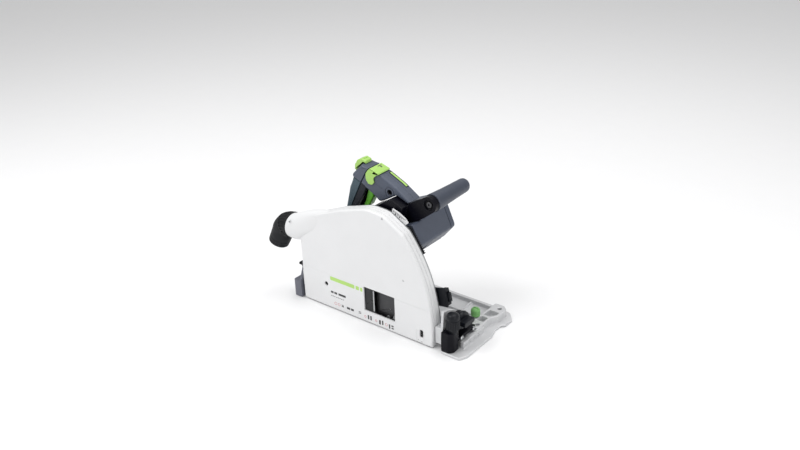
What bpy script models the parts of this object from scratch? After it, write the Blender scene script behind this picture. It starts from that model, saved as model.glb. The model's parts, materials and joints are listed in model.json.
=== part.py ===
"""Track plunge saw: cast base, bevel-tilting blade guard and a sprung plunge unit with its drive train.

Every length below is in millimetres and is turned into metres when a mesh is made. +X is the cutting
direction, +Y points from the blade towards the motor and +Z is up, with the sole at Z = 0. Sizes are
given from the rear bottom edge of the guard's outer face, at rest (blade raised, no bevel).
"""
from math import asin, cos, degrees, hypot, pi, radians, sin

import bmesh
import bpy
from mathutils import Vector
from mathutils.geometry import tessellate_polygon

MM = 0.001
GAP = 0.3                 # clearance between pieces that touch
FRAME_X = 146.25          # middle of the whole saw's length, from the guard's rear edge
FRAME_Y = 81.42           # middle of its width, from the guard's outer face

# base
SOLE_THICK = 5.0
BASE_REAR = -24.0
BASE_FRONT = 372.0
BASE_FAR = 176.0
NOTCH_FRONT = 329.0       # front end of the space that the guard stands in
NOTCH_FAR = 28.5
DECK_TOP = 20.0           # top of the cast front deck
KNOB_BOSS_X = (18.0, 329.5)
KNOB_BOSS_Y = 106.0
KNOB_Z = 28.0             # height of the guide knobs, 6.4 mm above the tops of their bosses

# bevel axis, parallel to X along the guard's lower outer edge
TILT_Y = 2.0
TILT_Z = 2.0
SEGMENT_R = 76.0
CLAMP_R = 64.0
CLAMP_ANGLE_FRONT = 50.0
CLAMP_ANGLE_REAR = 70.0

# plunge axis, parallel to Y at the rear of the head
PIVOT_X = 30.0
PIVOT_Z = 30.0
ARM = 168.0
REST_ANGLE = 32.0         # of the arm above the sole with the blade raised

# depth stop, which rides on the guard's arc
STOP_ANGLE = 12.3

# blade guard
GUARD_FACE = 2.5
GUARD_DEPTH = 24.0
GUARD_R = 280.0
GUARD_BOTTOM = 1.5
BACK_Y = (24.3, 27.0)

# blade and spindle
BLADE_R = 105.0
BLADE_BORE = 15.0
BLADE_Y = (9.8, 12.2)
TEETH = 36
SPINDLE_R = 6.0
FLANGE_R = 22.0

# two gear stages between armature and spindle
MOTOR_FROM_SPINDLE = (27.0, 58.9)
PINION_R = 9.0
IDLER_GEAR_R = 24.3
IDLER_PINION_R = 11.18
DRIVE_GEAR_R = 20.33
STAGE_ONE_Y = (50.5, 58.5)
STAGE_TWO_Y = (39.5, 48.5)

# motor box, laid out square to its front face, which leans back
FACE_LEAN = 23.6
CASE_Y = (33.0, 59.7)
PLATE_Y = (60.0, 68.0)
BOX_Y = (68.3, 128.0)
CAP_Y = (128.3, 142.0)
NOSE_Y = 33.0

# rear handle
HANDLE_Y = (50.0, 82.0)
HANDLE_MID = 66.0

# front handle
FRONT_HANDLE_X = 270.5
FRONT_HANDLE_Z = 250.0
FRONT_HANDLE_R = 15.0
FRONT_HANDLE_END = 159.0

# dust port
PORT_Y = 13.0
PORT_Z = 146.0
PORT_R = 23.5
PORT_END_X = -27.0
PORT_MOUTH_X = 45.0       # middle of the duct's slanted mouth inside the guard
PORT_MOUTH_Z = 166.0
PORT_MOUTH_DEEP = 12.4
PORT_MOUTH_TALL = 46.0
PORT_LEAN = 38.0

# hose elbow, which swivels on the end of the dust port
BEND_X = -29.0            # where the bend starts
BEND_R = 25.2
COLLAR_BEND = 39.0        # angle at which the collar meets the elbow
ELBOW_BEND = 66.0
MOUTH_LENGTH = 32.0
ELBOW_TILT = radians(8)   # swivel at rest, towards the guard's outer side

WHITE = ("white_plastic", (0.86, 0.87, 0.87), 0.45, 0.0)
CAST = ("cast_aluminium", (0.72, 0.73, 0.74), 0.42, 0.6)
GREY = ("grey_metal", (0.55, 0.56, 0.57), 0.4, 0.7)
SLATE = ("slate_plastic", (0.085, 0.10, 0.13), 0.5, 0.0)
TEAL = ("grip_rubber", (0.08, 0.13, 0.15), 0.7, 0.0)
BLACK = ("black_plastic", (0.018, 0.019, 0.022), 0.42, 0.0)
GREEN = ("green_plastic", (0.28, 0.62, 0.07), 0.4, 0.0)
STEEL = ("steel", (0.56, 0.57, 0.58), 0.28, 1.0)
COPPER = ("copper", (0.62, 0.30, 0.16), 0.35, 0.9)
SMOKE = ("smoked_window", (0.10, 0.11, 0.12), 0.15, 0.0)


# ---------------------------------------------------------------- frame and axes

def polar(cx, cz, radius, angle):
    """Point at a radius and an angle from +X towards +Z (or from +Y towards +Z)."""
    return (cx + radius * cos(radians(angle)), cz + radius * sin(radians(angle)))


SPINDLE_X, SPINDLE_Z = polar(PIVOT_X, PIVOT_Z, ARM, REST_ANGLE)
MOTOR_X = SPINDLE_X + MOTOR_FROM_SPINDLE[0]
MOTOR_Z = SPINDLE_Z + MOTOR_FROM_SPINDLE[1]
IDLER_SHARE = (IDLER_PINION_R + DRIVE_GEAR_R) / hypot(*MOTOR_FROM_SPINDLE)
IDLER_X = SPINDLE_X + MOTOR_FROM_SPINDLE[0] * IDLER_SHARE
IDLER_Z = SPINDLE_Z + MOTOR_FROM_SPINDLE[1] * IDLER_SHARE


def box_point(forward, upward):
    """Point of the motor box, measured from the armature square to the box's front face."""
    c = cos(radians(FACE_LEAN))
    s = sin(radians(FACE_LEAN))
    return (MOTOR_X + forward * c - upward * s, MOTOR_Z + forward * s + upward * c)


DIAL = box_point(24, 16)
BUTTON_X, BUTTON_Z = polar(PIVOT_X, PIVOT_Z, 300, STOP_ANGLE)

# name: (axis position, parent axis)
AXES = {
    "saw": ((0, 0, 0), None),
    "tilt_axis": ((0, TILT_Y, TILT_Z), "saw"),
    "plunge_axis": ((PIVOT_X, 36, PIVOT_Z), "tilt_axis"),
    "spindle_axis": ((SPINDLE_X, 11, SPINDLE_Z), "plunge_axis"),
    "idler_axis": ((IDLER_X, 50, IDLER_Z), "plunge_axis"),
    "armature_axis": ((MOTOR_X, 97, MOTOR_Z), "plunge_axis"),
    "trigger_axis": ((134, HANDLE_MID, 250), "plunge_axis"),
    "release_axis": ((113, HANDLE_MID, 285), "plunge_axis"),
    "lock_axis": ((143, HANDLE_MID, 288), "plunge_axis"),
    "dial_axis": ((DIAL[0], 145, DIAL[1]), "plunge_axis"),
    "stop_axis": ((PIVOT_X, 30, PIVOT_Z), "tilt_axis"),
    "stop_button_axis": ((BUTTON_X, 38.5, BUTTON_Z), "stop_axis"),
    "window_axis": ((168, 4, 50), "tilt_axis"),
    "swivel_axis": ((PORT_END_X - 20, PORT_Y, PORT_Z), "tilt_axis"),
    "front_clamp_axis": ((345,) + polar(TILT_Y, TILT_Z, CLAMP_R, CLAMP_ANGLE_FRONT), "saw"),
    "rear_clamp_axis": ((-16,) + polar(TILT_Y, TILT_Z, CLAMP_R, CLAMP_ANGLE_REAR), "saw"),
    "bevel_stop_axis": ((345, 13, 60), "saw"),
    "guide_front_axis": ((KNOB_BOSS_X[1], KNOB_BOSS_Y, KNOB_Z), "saw"),
    "guide_rear_axis": ((KNOB_BOSS_X[0], KNOB_BOSS_Y, KNOB_Z), "saw"),
}


def clear_scene():
    for thing in list(bpy.data.objects):
        bpy.data.objects.remove(thing, do_unlink=True)


def make_axes():
    """One empty for each axis, each parented to the one that carries it."""
    empties = {}
    for name, (place, parent) in AXES.items():
        empty = bpy.data.objects.new(name, None)
        bpy.context.scene.collection.objects.link(empty)
        if parent:
            empty.parent = empties[parent]
            empty.location = (Vector(place) - Vector(AXES[parent][0])) * MM
        else:
            empty.location = Vector((-FRAME_X, -FRAME_Y, 0)) * MM
        empties[name] = empty
    return empties


def material(spec):
    name, colour, roughness, metallic = spec
    found = bpy.data.materials.get(name)
    if found:
        return found
    made = bpy.data.materials.new(name)
    made.use_nodes = True
    made.diffuse_color = (*colour, 1)
    shader = made.node_tree.nodes["Principled BSDF"]
    shader.inputs["Base Color"].default_value = (*colour, 1)
    shader.inputs["Roughness"].default_value = roughness
    shader.inputs["Metallic"].default_value = metallic
    return made


# ---------------------------------------------------------------- outlines

def arc(cx, cz, radius, start, end, steps):
    return [polar(cx, cz, radius, start + (end - start) * i / steps) for i in range(steps + 1)]


def rounded(points, radius, steps=3):
    """Rounds an outline's corners. A point may carry its own radius as a third number."""
    out = []
    count = len(points)
    for i, point in enumerate(points):
        size = point[2] if len(point) > 2 else radius
        here = Vector(point[:2])
        back = Vector(points[i - 1][:2]) - here
        ahead = Vector(points[(i + 1) % count][:2]) - here
        turn = back.angle(ahead)
        if size <= 0 or turn > pi - 0.05:
            out.append(tuple(here))
            continue
        reach = min(size / abs(sin(turn / 2) / cos(turn / 2)), 0.45 * back.length, 0.45 * ahead.length)
        first = here + back.normalized() * reach
        last = here + ahead.normalized() * reach
        for k in range(steps + 1):
            t = k / steps
            out.append(tuple(first * (1 - t) ** 2 + here * 2 * t * (1 - t) + last * t ** 2))
    return out


def gear_outline(cx, cz, teeth, tip, root):
    points = []
    for i in range(teeth):
        middle = 360 * i / teeth
        pitch = 360 / teeth
        for share, radius in ((-0.40, root), (-0.16, tip), (0.16, tip), (0.40, root)):
            points.append(polar(cx, cz, radius, middle + share * pitch))
    return points


def blade_outline(cx, cz):
    """Saw teeth with hooked faces, sloping backs and round gullets."""
    points = []
    pitch = 360 / TEETH
    for i in range(TEETH):
        start = pitch * i
        points.append(polar(cx, cz, BLADE_R, start))
        points.append(polar(cx, cz, BLADE_R - 0.9, start + 0.28 * pitch))
        points.append(polar(cx, cz, BLADE_R - 7.2, start + 0.80 * pitch))
        points.append(polar(cx, cz, BLADE_R - 7.4, start + 0.96 * pitch))
    return points


def guard_outline(inset=0.0):
    """Side view of the guard: arched front about the plunge axis, low crown and an upright rear."""
    radius = GUARD_R - inset
    low = GUARD_BOTTOM + inset
    front = arc(PIVOT_X, PIVOT_Z, radius, -degrees(asin((PIVOT_Z - low) / radius)), 39.0, 14)
    crown = [(205 - 0.4 * inset, 232 - inset, 40), (168, 234 - inset, 60), (108, 216 - inset, 60),
             (48 + 0.3 * inset, 192 - inset, 30), (1 + inset, 170 - inset, 16)]
    return rounded([(1 + inset, low, 0)] + [(x, z, 0) for x, z in front] + crown, 0, 5)


# ---------------------------------------------------------------- solids

def frame_point(plane, u, v, t):
    return {"XZ": (u, t, v), "YZ": (t, u, v), "XY": (u, v, t)}[plane]


def prism(outline, plane, start, end, holes=()):
    """Straight extrusion of an outline, with through holes, as (vertices, faces)."""
    loops = [list(outline)] + [list(hole) for hole in holes]
    flat = [[Vector((u, v, 0)) for u, v in loop] for loop in loops]
    caps = tessellate_polygon(flat)
    points = [p for loop in loops for p in loop]
    count = len(points)
    verts = [frame_point(plane, u, v, start) for u, v in points]
    verts += [frame_point(plane, u, v, end) for u, v in points]
    faces = [tuple(face) for face in caps]
    faces += [tuple(i + count for i in reversed(face)) for face in caps]
    first = 0
    for loop in loops:
        size = len(loop)
        for i in range(size):
            a = first + i
            b = first + (i + 1) % size
            faces.append((a, b, b + count, a + count))
        first += size
    return verts, faces


def block(x0, x1, y0, y1, z0, z1):
    return prism([(x0, y0), (x1, y0), (x1, y1), (x0, y1)], "XY", z0, z1)


def turned(profile, axis, centre, sides):
    """Closed (radius, height) profile turned about a line along X, Y or Z through a centre."""
    verts = []
    faces = []
    rings = []
    for radius, height in profile:
        ring = []
        around = 1 if radius < 1e-6 else sides
        for i in range(around):
            turn = 2 * pi * i / sides
            u = radius * cos(turn)
            v = radius * sin(turn)
            offset = {"X": (height, u, v), "Y": (u, height, v), "Z": (u, v, height)}[axis]
            ring.append(len(verts))
            verts.append(tuple(c + o for c, o in zip(centre, offset)))
        rings.append(ring)
    closed = profile[0][0] > 1e-6
    for i in range(len(rings) if closed else len(rings) - 1):
        low = rings[i]
        high = rings[(i + 1) % len(rings)]
        for k in range(sides):
            n = (k + 1) % sides
            if len(low) == 1 and len(high) == 1:
                continue
            if len(low) == 1:
                faces.append((low[0], high[n], high[k]))
            elif len(high) == 1:
                faces.append((low[k], low[n], high[0]))
            else:
                faces.append((low[k], low[n], high[n], high[k]))
    return verts, faces


def disc(axis, centre, radius, low, high, sides=24, bore=0.0):
    """Round disc or ring between two heights along its axis."""
    if bore > 0:
        return turned([(bore, low), (radius, low), (radius, high), (bore, high)], axis, centre, sides)
    return turned([(0, low), (radius, low), (radius, high), (0, high)], axis, centre, sides)


def loft(rings):
    """Skin through rings of equal point counts, with flat ends."""
    verts = [point for ring in rings for point in ring]
    size = len(rings[0])
    faces = [tuple(range(size)), tuple(range(len(verts) - size, len(verts)))[::-1]]
    for i in range(len(rings) - 1):
        for k in range(size):
            n = (k + 1) % size
            faces.append((i * size + k, i * size + n, (i + 1) * size + n, (i + 1) * size + k))
    return verts, faces


def solid(name, shape, spec, axis="saw", cutter=False):
    """Makes an object from a shape and hangs it on its axis."""
    verts, faces = shape
    origin = Vector(AXES[axis][0])
    mesh = bpy.data.meshes.new(name)
    mesh.from_pydata([tuple((Vector(v) - origin) * MM) for v in verts], [], faces)
    work = bmesh.new()
    work.from_mesh(mesh)
    bmesh.ops.recalc_face_normals(work, faces=work.faces)
    work.to_mesh(mesh)
    work.free()
    made = bpy.data.objects.new(name, mesh)
    bpy.context.scene.collection.objects.link(made)
    made.parent = EMPTIES[axis]
    if cutter:
        made.hide_render = True
        made.display_type = "WIRE"
    else:
        mesh.materials.append(material(spec))
        mesh.shade_smooth()
        mesh.set_sharp_from_angle(angle=radians(32))
    return made


def combine(target, shape, operation, axis="saw"):
    """Adds or takes away a shape with a Boolean modifier."""
    count = len(target.modifiers)
    tool = solid(f"{operation.lower()}_{target.name}_{count}", shape, None, axis, cutter=True)
    change = target.modifiers.new(f"{operation.lower()}_{count}", "BOOLEAN")
    change.operation = operation
    change.solver = "EXACT"
    change.object = tool


def cut(target, shape, axis="saw"):
    combine(target, shape, "DIFFERENCE", axis)


def add(target, shape, axis="saw"):
    combine(target, shape, "UNION", axis)


# ---------------------------------------------------------------- base and bevel clamps

def base_plate():
    """Cast base: thin sole, tall front deck with pockets, far rail and low stiffening ribs."""
    sole = rounded([(BASE_REAR, 30.6, 3), (-4, 30.6, 0), (-4, NOTCH_FAR, 0),
                    (NOTCH_FRONT, NOTCH_FAR, 3), (NOTCH_FRONT, -3, 2), (BASE_FRONT - 4, -3, 6),
                    (BASE_FRONT + 3, 12, 8), (BASE_FRONT + 3, 92, 8), (BASE_FRONT - 3, 112, 8),
                    (BASE_FRONT - 3, 128, 6), (BASE_FRONT + 4, 134, 8), (BASE_FRONT + 4, 158, 12),
                    (BASE_FRONT - 12, BASE_FAR, 12), (BASE_REAR, BASE_FAR, 10)], 4)
    base = solid("base_plate", prism(sole, "XY", 0, SOLE_THICK), CAST)
    deck = rounded([(333, 76), (333, 168), (352, 168), (362, 160), (362, 132), (354, 118), (354, 76)], 4)
    add(base, prism(deck, "XY", SOLE_THICK - 1, DECK_TOP))
    add(base, block(354 - 3, 359, 26, 90, SOLE_THICK - 1, DECK_TOP - 2))
    add(base, block(-10, 345, 162, 169, SOLE_THICK - 1, 13))
    for y in (84, 124):
        add(base, block(-10, 340, y, y + 4, SOLE_THICK - 1, 9))
    for x in (40, 100, 160, 220, 280):
        add(base, block(x, x + 4, 84, 166, SOLE_THICK - 1, 8))
    for x in KNOB_BOSS_X:
        add(base, disc("Z", (x, KNOB_BOSS_Y, 0), 11, SOLE_THICK - 1, KNOB_Z - 6.4, 18))
    pocket = [(337, 122), (350, 122), (357, 134), (357, 142), (337, 142)]
    cut(base, prism(rounded(pocket, 2), "XY", 9, DECK_TOP + 2))
    cut(base, block(337, 350, 100, 116, 9, DECK_TOP + 2))
    for x, y in ((346, 87), (350, 155)):
        cut(base, disc("Z", (x, y, 0), 4.2, 8, DECK_TOP + 2, 16))
    cut(base, block(-30, 380, 128.3, 136.3, -1, 1.6))
    return base


def guide_knob(name, axis):
    """Eccentric knob that takes up play on the guide rail."""
    x, y, z = AXES[axis][0]
    profile = [(0, -5.6), (6, -5.6), (8.6, -4), (8.6, 7), (6.5, 10.5), (0, 11.5)]
    knob = solid(name, turned(profile, "Z", (x, y, z), 24), GREEN, axis)
    cut(knob, block(x - 7, x + 7, y - 1, y + 1, z + 9.8, z + 13), axis)
    return knob


def front_clamp_bracket():
    """Black bracket on the base's near front corner: bevel bearing, arm and clamp seat."""
    cy, cz = AXES["front_clamp_axis"][0][1:]
    arm = rounded([(-2, 5.3, 2), (24, 5.3, 0), (24, 20.6, 0), (74, 20.6, 3), (74, 34, 8), (cy + 12, cz + 12, 12),
                   (cy - 12, cz + 12, 12), (22, 43.8, 3), (-2, 43.8, 12)], 3)
    bracket = solid("front_clamp_bracket", prism(arm, "YZ", 329.6, 337.0), BLACK)
    body = rounded([(330, -2, 0), (346, -2, 9), (352, 6, 9), (350.5, 24, 4), (330, 24, 0)], 3)
    add(bracket, prism(body, "XY", 5.3, 44))
    add(bracket, block(336, 350.4, 23, 74, 20.6, 27.5))
    cut(bracket, disc("X", (0, cy, cz), 4.4, 320, 345, 16))
    return bracket


def bracket_screw(name, y):
    profile = [(0, 0.3), (4.2, 0.3), (4.2, 2.2), (2.6, 3.4), (0, 3.4)]
    screw = solid(name, turned(profile, "X", (350.4, y, 24), 18), STEEL)
    cut(screw, disc("X", (350.4, y, 24), 1.6, 1.8, 5, 6))
    return screw


def bevel_clamp_knob(name, axis, x_seat, side, bolt, radius, height):
    """Round clamp knob with a raised wing across it; its bolt runs through the bevel slot."""
    _, y, z = AXES[axis][0]
    head = [(0, 0.3), (0.6, 0.3), (0.94, 2), (1, 0.5 * height), (0.94, 0.88 * height), (0, height)]
    profile = [(r * radius, x_seat + side * h) for r, h in head]
    knob = solid(name, turned(profile, "X", (0, y, z), 22), BLACK, axis)
    span = 0.88 * radius
    rise = 0.29 * radius
    wing = rounded([(y - span, z - rise), (y + span, z - rise), (y + span, z + rise), (y - span, z + rise)], 4)
    start, end = sorted((x_seat + side * 0.6 * height, x_seat + side * 1.9 * height))
    add(knob, prism(wing, "YZ", start, end), axis)
    start, end = sorted((x_seat - side * bolt, x_seat + side * 2))
    add(knob, disc("X", (0, y, z), 3.9, start, end, 16), axis)
    return knob


def bevel_stop_knob():
    """Ribbed knob with a domed top that frees the undercut stop."""
    x, y, _ = AXES["bevel_stop_axis"][0]
    profile = [(0, 44.3), (9, 44.3), (9, 49.5), (12.2, 50.5), (12.5, 73), (10.8, 77), (7.2, 79.5), (0, 80.4)]
    return solid("bevel_stop_knob", turned(profile, "Z", (x, y, 0), 26), BLACK, "bevel_stop_axis")


def rear_clamp_bracket():
    """Slate bracket on the base's near rear corner, with the rear bevel clamp seat."""
    cy, cz = AXES["rear_clamp_axis"][0][1:]
    plate = rounded([(-3, 0.6, 2), (30.2, 0.6, 0), (30.2, 5.3, 0), (58, 5.3, 4), (58, 34, 10), (cy + 10, cz + 8, 10),
                     (cy - 10, cz + 8, 10), (2, 40, 4), (-3, 38, 3)], 3)
    bracket = solid("rear_clamp_bracket", prism(plate, "YZ", -10.0, -4.3), SLATE)
    foot = rounded([(-23, -3, 4), (-9, -3, 0), (-9, 30.2, 0), (-23, 30.2, 2)], 3)
    add(bracket, prism(foot, "XY", 0.6, 36))
    cut(bracket, disc("X", (0, cy, cz), 4.4, -20, 0, 16))
    return bracket


# ---------------------------------------------------------------- bevel head: guard and its fittings

def port_ring(share, inset=0.0):
    """One section of the dust duct: an upright oval inside the guard, a circle at its outer end."""
    blend = share * share * (3 - 2 * share)
    x = PORT_END_X + (PORT_MOUTH_X - PORT_END_X) * share
    z = PORT_Z + (PORT_MOUTH_Z - PORT_Z) * blend
    lean = -radians(PORT_LEAN) * blend
    half_deep = PORT_R + (PORT_MOUTH_DEEP - PORT_R) * share - inset
    half_tall = PORT_R + (PORT_MOUTH_TALL - PORT_R) * share - inset
    middle = PORT_Y
    ring = []
    count = 24
    power = 1 - 0.25 * share
    for i in range(count):
        turn = 2 * pi * i / count
        c = cos(turn)
        s = sin(turn)
        deep = half_deep * abs(c) ** power * (1 if c > 0 else -1)
        tall = half_tall * abs(s) ** power * (1 if s > 0 else -1)
        ring.append((x - tall * sin(lean), middle + deep, z + tall * cos(lean)))
    return ring


def port_skin(inset=0.0, start=0.0, end=1.0, steps=6):
    return loft([port_ring(start + (end - start) * i / steps, inset) for i in range(steps + 1)])


def blade_guard():
    """Outer guard shell: face and rim, open behind and below, with the sight window cut out."""
    guard = solid("blade_guard", prism(guard_outline(), "XZ", 0, GUARD_DEPTH), WHITE, "tilt_axis")
    hollow = [(x, z if z > GUARD_BOTTOM + 8 else z - 10) for x, z in guard_outline(GUARD_FACE)]
    cut(guard, prism(hollow, "XZ", GUARD_FACE, GUARD_DEPTH + 5), "tilt_axis")
    cut(guard, block(155, 227, -5, 8, 26, 76), "tilt_axis")
    cut(guard, disc("Y", (62, 0, 52), 4.5, -5, 8, 16), "tilt_axis")
    slot = rounded([(282, 15), (290, 15), (290, 31), (282, 31)], 3.9)
    cut(guard, prism(slot, "XZ", -5, 8), "tilt_axis")
    cut(guard, port_skin(-GAP), "tilt_axis")
    return guard


def dust_port():
    """White duct that leads chips from the guard's rear top corner to the hose swivel."""
    port = solid("dust_port", port_skin(), WHITE, "tilt_axis")
    cut(port, port_skin(2.4, -0.05, 1.05), "tilt_axis")
    return port


def guard_back_plate():
    """Metal plate that closes the guard towards the motor, with the arc slot for the spindle."""
    slot = arc(PIVOT_X, PIVOT_Z, ARM + 13, -6, REST_ANGLE + 5, 12)
    slot += arc(PIVOT_X, PIVOT_Z, ARM - 13, REST_ANGLE + 5, -6, 12)
    slot = [(x, max(z, GUARD_BOTTOM + 4)) for x, z in slot]
    bore = arc(PIVOT_X, PIVOT_Z, 8.3, 0, 345, 23)
    plate = solid("guard_back_plate", prism(guard_outline(0.6), "XZ", *BACK_Y, [slot, bore]), GREY, "tilt_axis")
    cut(plate, port_skin(-GAP), "tilt_axis")
    return plate


def bevel_segment(name, start, end, clamp_angle, foot):
    """Upright quadrant about the bevel axis, with the slot that the clamp bolt runs in."""
    outer = arc(TILT_Y, TILT_Z, SEGMENT_R, 8, 84, 12)
    inner = arc(TILT_Y, TILT_Z, 30, 84, 40, 6)
    quadrant = outer + inner + [(28, 10)]
    slot = arc(TILT_Y, TILT_Z, CLAMP_R + 4.6, clamp_angle - 50.5, clamp_angle + 4.5, 12)
    slot = [p for p in slot if p[1] > 8] + [p for p in arc(TILT_Y, TILT_Z, CLAMP_R - 4.6, clamp_angle + 4.5,
                                                           clamp_angle - 50.5, 12) if p[1] > 8]
    segment = solid(name, prism(quadrant, "YZ", start, end), CAST, "tilt_axis")
    cut(segment, prism(slot, "YZ", start - 3, end + 3), "tilt_axis")
    add(segment, foot, "tilt_axis")
    return segment


def pivot_shaft():
    """Shaft that the plunge arm swings on, riveted through the back plate."""
    profile = [(0, 18), (12, 18), (12, 24), (8, 24), (8, 61), (7, 62), (0, 62)]
    return solid("plunge_pivot_shaft", turned(profile, "Y", (PIVOT_X, 0, PIVOT_Z), 32), STEEL, "tilt_axis")


def pivot_ring():
    return solid("pivot_retaining_ring", disc("Y", (PIVOT_X, 0, PIVOT_Z), 12, 43.6, 45.6, 24, 8.3), STEEL,
                 "tilt_axis")


def plunge_spring():
    """Torsion spring round the shaft that lifts the plunge unit."""
    turns = 4
    steps = 12
    wire = 1.1
    rings = []
    for i in range(turns * steps + 1):
        turn = 2 * pi * i / steps
        middle = Vector((PIVOT_X + 11 * cos(turn), 48.0 + 11.5 * i / (turns * steps), PIVOT_Z + 11 * sin(turn)))
        outward = Vector((cos(turn), 0, sin(turn)))
        ring = []
        for k in range(5):
            around = 2 * pi * k / 5
            ring.append(tuple(middle + outward * wire * cos(around) + Vector((0, wire * sin(around), 0))))
        rings.append(ring)
    return solid("plunge_spring", loft(rings), STEEL, "tilt_axis")


def ring_sector(inner, outer, start, end, steps):
    return arc(PIVOT_X, PIVOT_Z, outer, start, end, steps) + arc(PIVOT_X, PIVOT_Z, inner, end, start, steps)


def depth_scale():
    """Scale plate that stands a little above the guard's crown."""
    outline = rounded([(206, 226), (208, 236), (222, 231.5), (236, 223.6), (242, 217), (234, 210), (220, 215)], 1)
    return solid("depth_scale", prism(outline, "XZ", 27.3, 29.3), WHITE, "tilt_axis")


def depth_rack():
    """Toothed arc that the depth stop locks into."""
    teeth = []
    for i in range(15):
        angle = 18 + 1.5 * i
        teeth += [polar(PIVOT_X, PIVOT_Z, 281, angle), polar(PIVOT_X, PIVOT_Z, 283.5, angle + 0.3)]
        teeth += [polar(PIVOT_X, PIVOT_Z, 283.5, angle + 0.8), polar(PIVOT_X, PIVOT_Z, 281, angle + 1.1)]
    outline = teeth + arc(PIVOT_X, PIVOT_Z, 262, 40.2, 18, 14)
    return solid("depth_rack", prism(outline, "XZ", 27.3, 29.6), BLACK, "tilt_axis")


def depth_stop():
    """Slider that rides on the guard's arc and sets the cutting depth."""
    inner = ring_sector(262, 296, STOP_ANGLE - 3.6, STOP_ANGLE + 3.6, 4)
    stop = solid("depth_stop", prism(inner, "XZ", 29.9, 32.7), BLACK, "stop_axis")
    add(stop, prism(ring_sector(288.5, 297, STOP_ANGLE - 3.0, STOP_ANGLE + 3.0, 3), "XZ", 31, 41), "stop_axis")
    pocket = ring_sector(293.4, 300, STOP_ANGLE - 1.9, STOP_ANGLE + 1.9, 2)
    cut(stop, prism(pocket, "XZ", 32.8, 39.2), "stop_axis")
    return stop


def depth_stop_button():
    """Push button on the stop's front that frees it from the rack."""
    outline = ring_sector(295.3, 302, STOP_ANGLE - 1.6, STOP_ANGLE + 1.6, 3)
    return solid("depth_stop_button", prism(outline, "XZ", 33.4, 38.6), BLACK, "stop_button_axis")


def sight_panel():
    """Smoked panel that slides behind the sight window."""
    outline = rounded([(150, 22), (178, 22), (178, 80), (150, 80)], 1.5)
    panel = solid("sight_panel", prism(outline, "XZ", 2.8, 4.4), SMOKE, "window_axis")
    add(panel, block(176, 178, 1.4, 3.5, 30, 72), "window_axis")
    return panel


# ---------------------------------------------------------------- hose swivel

def hose_ring(angle, along, radius):
    """Section of the hose elbow at an angle round its bend, then at a distance straight on from there."""
    turned_by = radians(angle)
    ahead = Vector((-cos(turned_by), 0, -sin(turned_by)))
    across = Vector((-sin(turned_by), 0, cos(turned_by)))
    middle = Vector((BEND_X, 0, -BEND_R)) + across * BEND_R + ahead * along
    ring = []
    count = 24
    for k in range(count):
        turn = 2 * pi * k / count
        spot = middle + across * radius * sin(turn) + Vector((0, radius * cos(turn), 0))
        y = spot.y * cos(ELBOW_TILT) + spot.z * sin(ELBOW_TILT)
        z = spot.z * cos(ELBOW_TILT) - spot.y * sin(ELBOW_TILT)
        ring.append((spot.x, PORT_Y + y, PORT_Z + z))
    return ring


def swivel_collar():
    """Collar that snaps on the end of the dust port and starts the bend."""
    lip = BEND_X - PORT_END_X + GAP
    outer = [(0, lip, 25.4), (0, 0, 24.6), (13, 0, 24.2), (26, 0, 23.8), (COLLAR_BEND, 0, 23.4)]
    inner = [(0, lip - 4, 21.6), (0, 0, 21.4), (13, 0, 21.1), (26, 0, 20.8), (COLLAR_BEND, 0, 20.5),
             (COLLAR_BEND, 6, 20.5)]
    collar = solid("swivel_collar", loft([hose_ring(*ring) for ring in outer]), BLACK, "swivel_axis")
    cut(collar, loft([hose_ring(*ring) for ring in inner]), "swivel_axis")
    return collar


def dust_elbow():
    """Rest of the bend and the straight hose mouth, open at both ends."""
    outer = [(COLLAR_BEND, GAP, 23.1), (48, 0.2, 22.9), (57, 0.1, 22.6), (ELBOW_BEND, 0, 22.3),
             (ELBOW_BEND, 0.5 * MOUTH_LENGTH, 21.2), (ELBOW_BEND, MOUTH_LENGTH, 20.2)]
    inner = [(COLLAR_BEND, -3, 20.4), (COLLAR_BEND, GAP, 20.4), (48, 0.2, 20.2), (57, 0.1, 19.9), (ELBOW_BEND, 0, 19.6),
             (ELBOW_BEND, MOUTH_LENGTH + 4, 17.4)]
    elbow = solid("dust_elbow", loft([hose_ring(*ring) for ring in outer]), BLACK, "swivel_axis")
    cut(elbow, loft([hose_ring(*ring) for ring in inner]), "swivel_axis")
    return elbow


# ---------------------------------------------------------------- plunge unit: castings and motor

def box_outline(inset=0.0):
    """Square-shouldered section of the motor box."""
    corners = [(57, -29), (57, 13.7), (45, 32), (20, 38), (-28, 38), (-47, 26), (-47, -30), (-26, -46), (22, -46)]
    sized = []
    for forward, upward in corners:
        length = hypot(forward, upward)
        shrink = 1 - 1.12 * inset / length
        sized.append(box_point(forward * shrink, upward * shrink))
    return rounded(sized, 9, 3)


def case_outline(top):
    """Gear case section: round the spindle, along the motor box and under the handle."""
    spindle = arc(SPINDLE_X, SPINDLE_Z, 23.3, 195, 335, 10)
    front = [(222, 141, 12), (*box_point(33.6, -38), 4)]
    rear = [(149.3, 200, 6), (149.3, 143, 3)]
    return rounded([(x, z, 0) for x, z in spindle] + front + top + rear, 0, 3)


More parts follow.
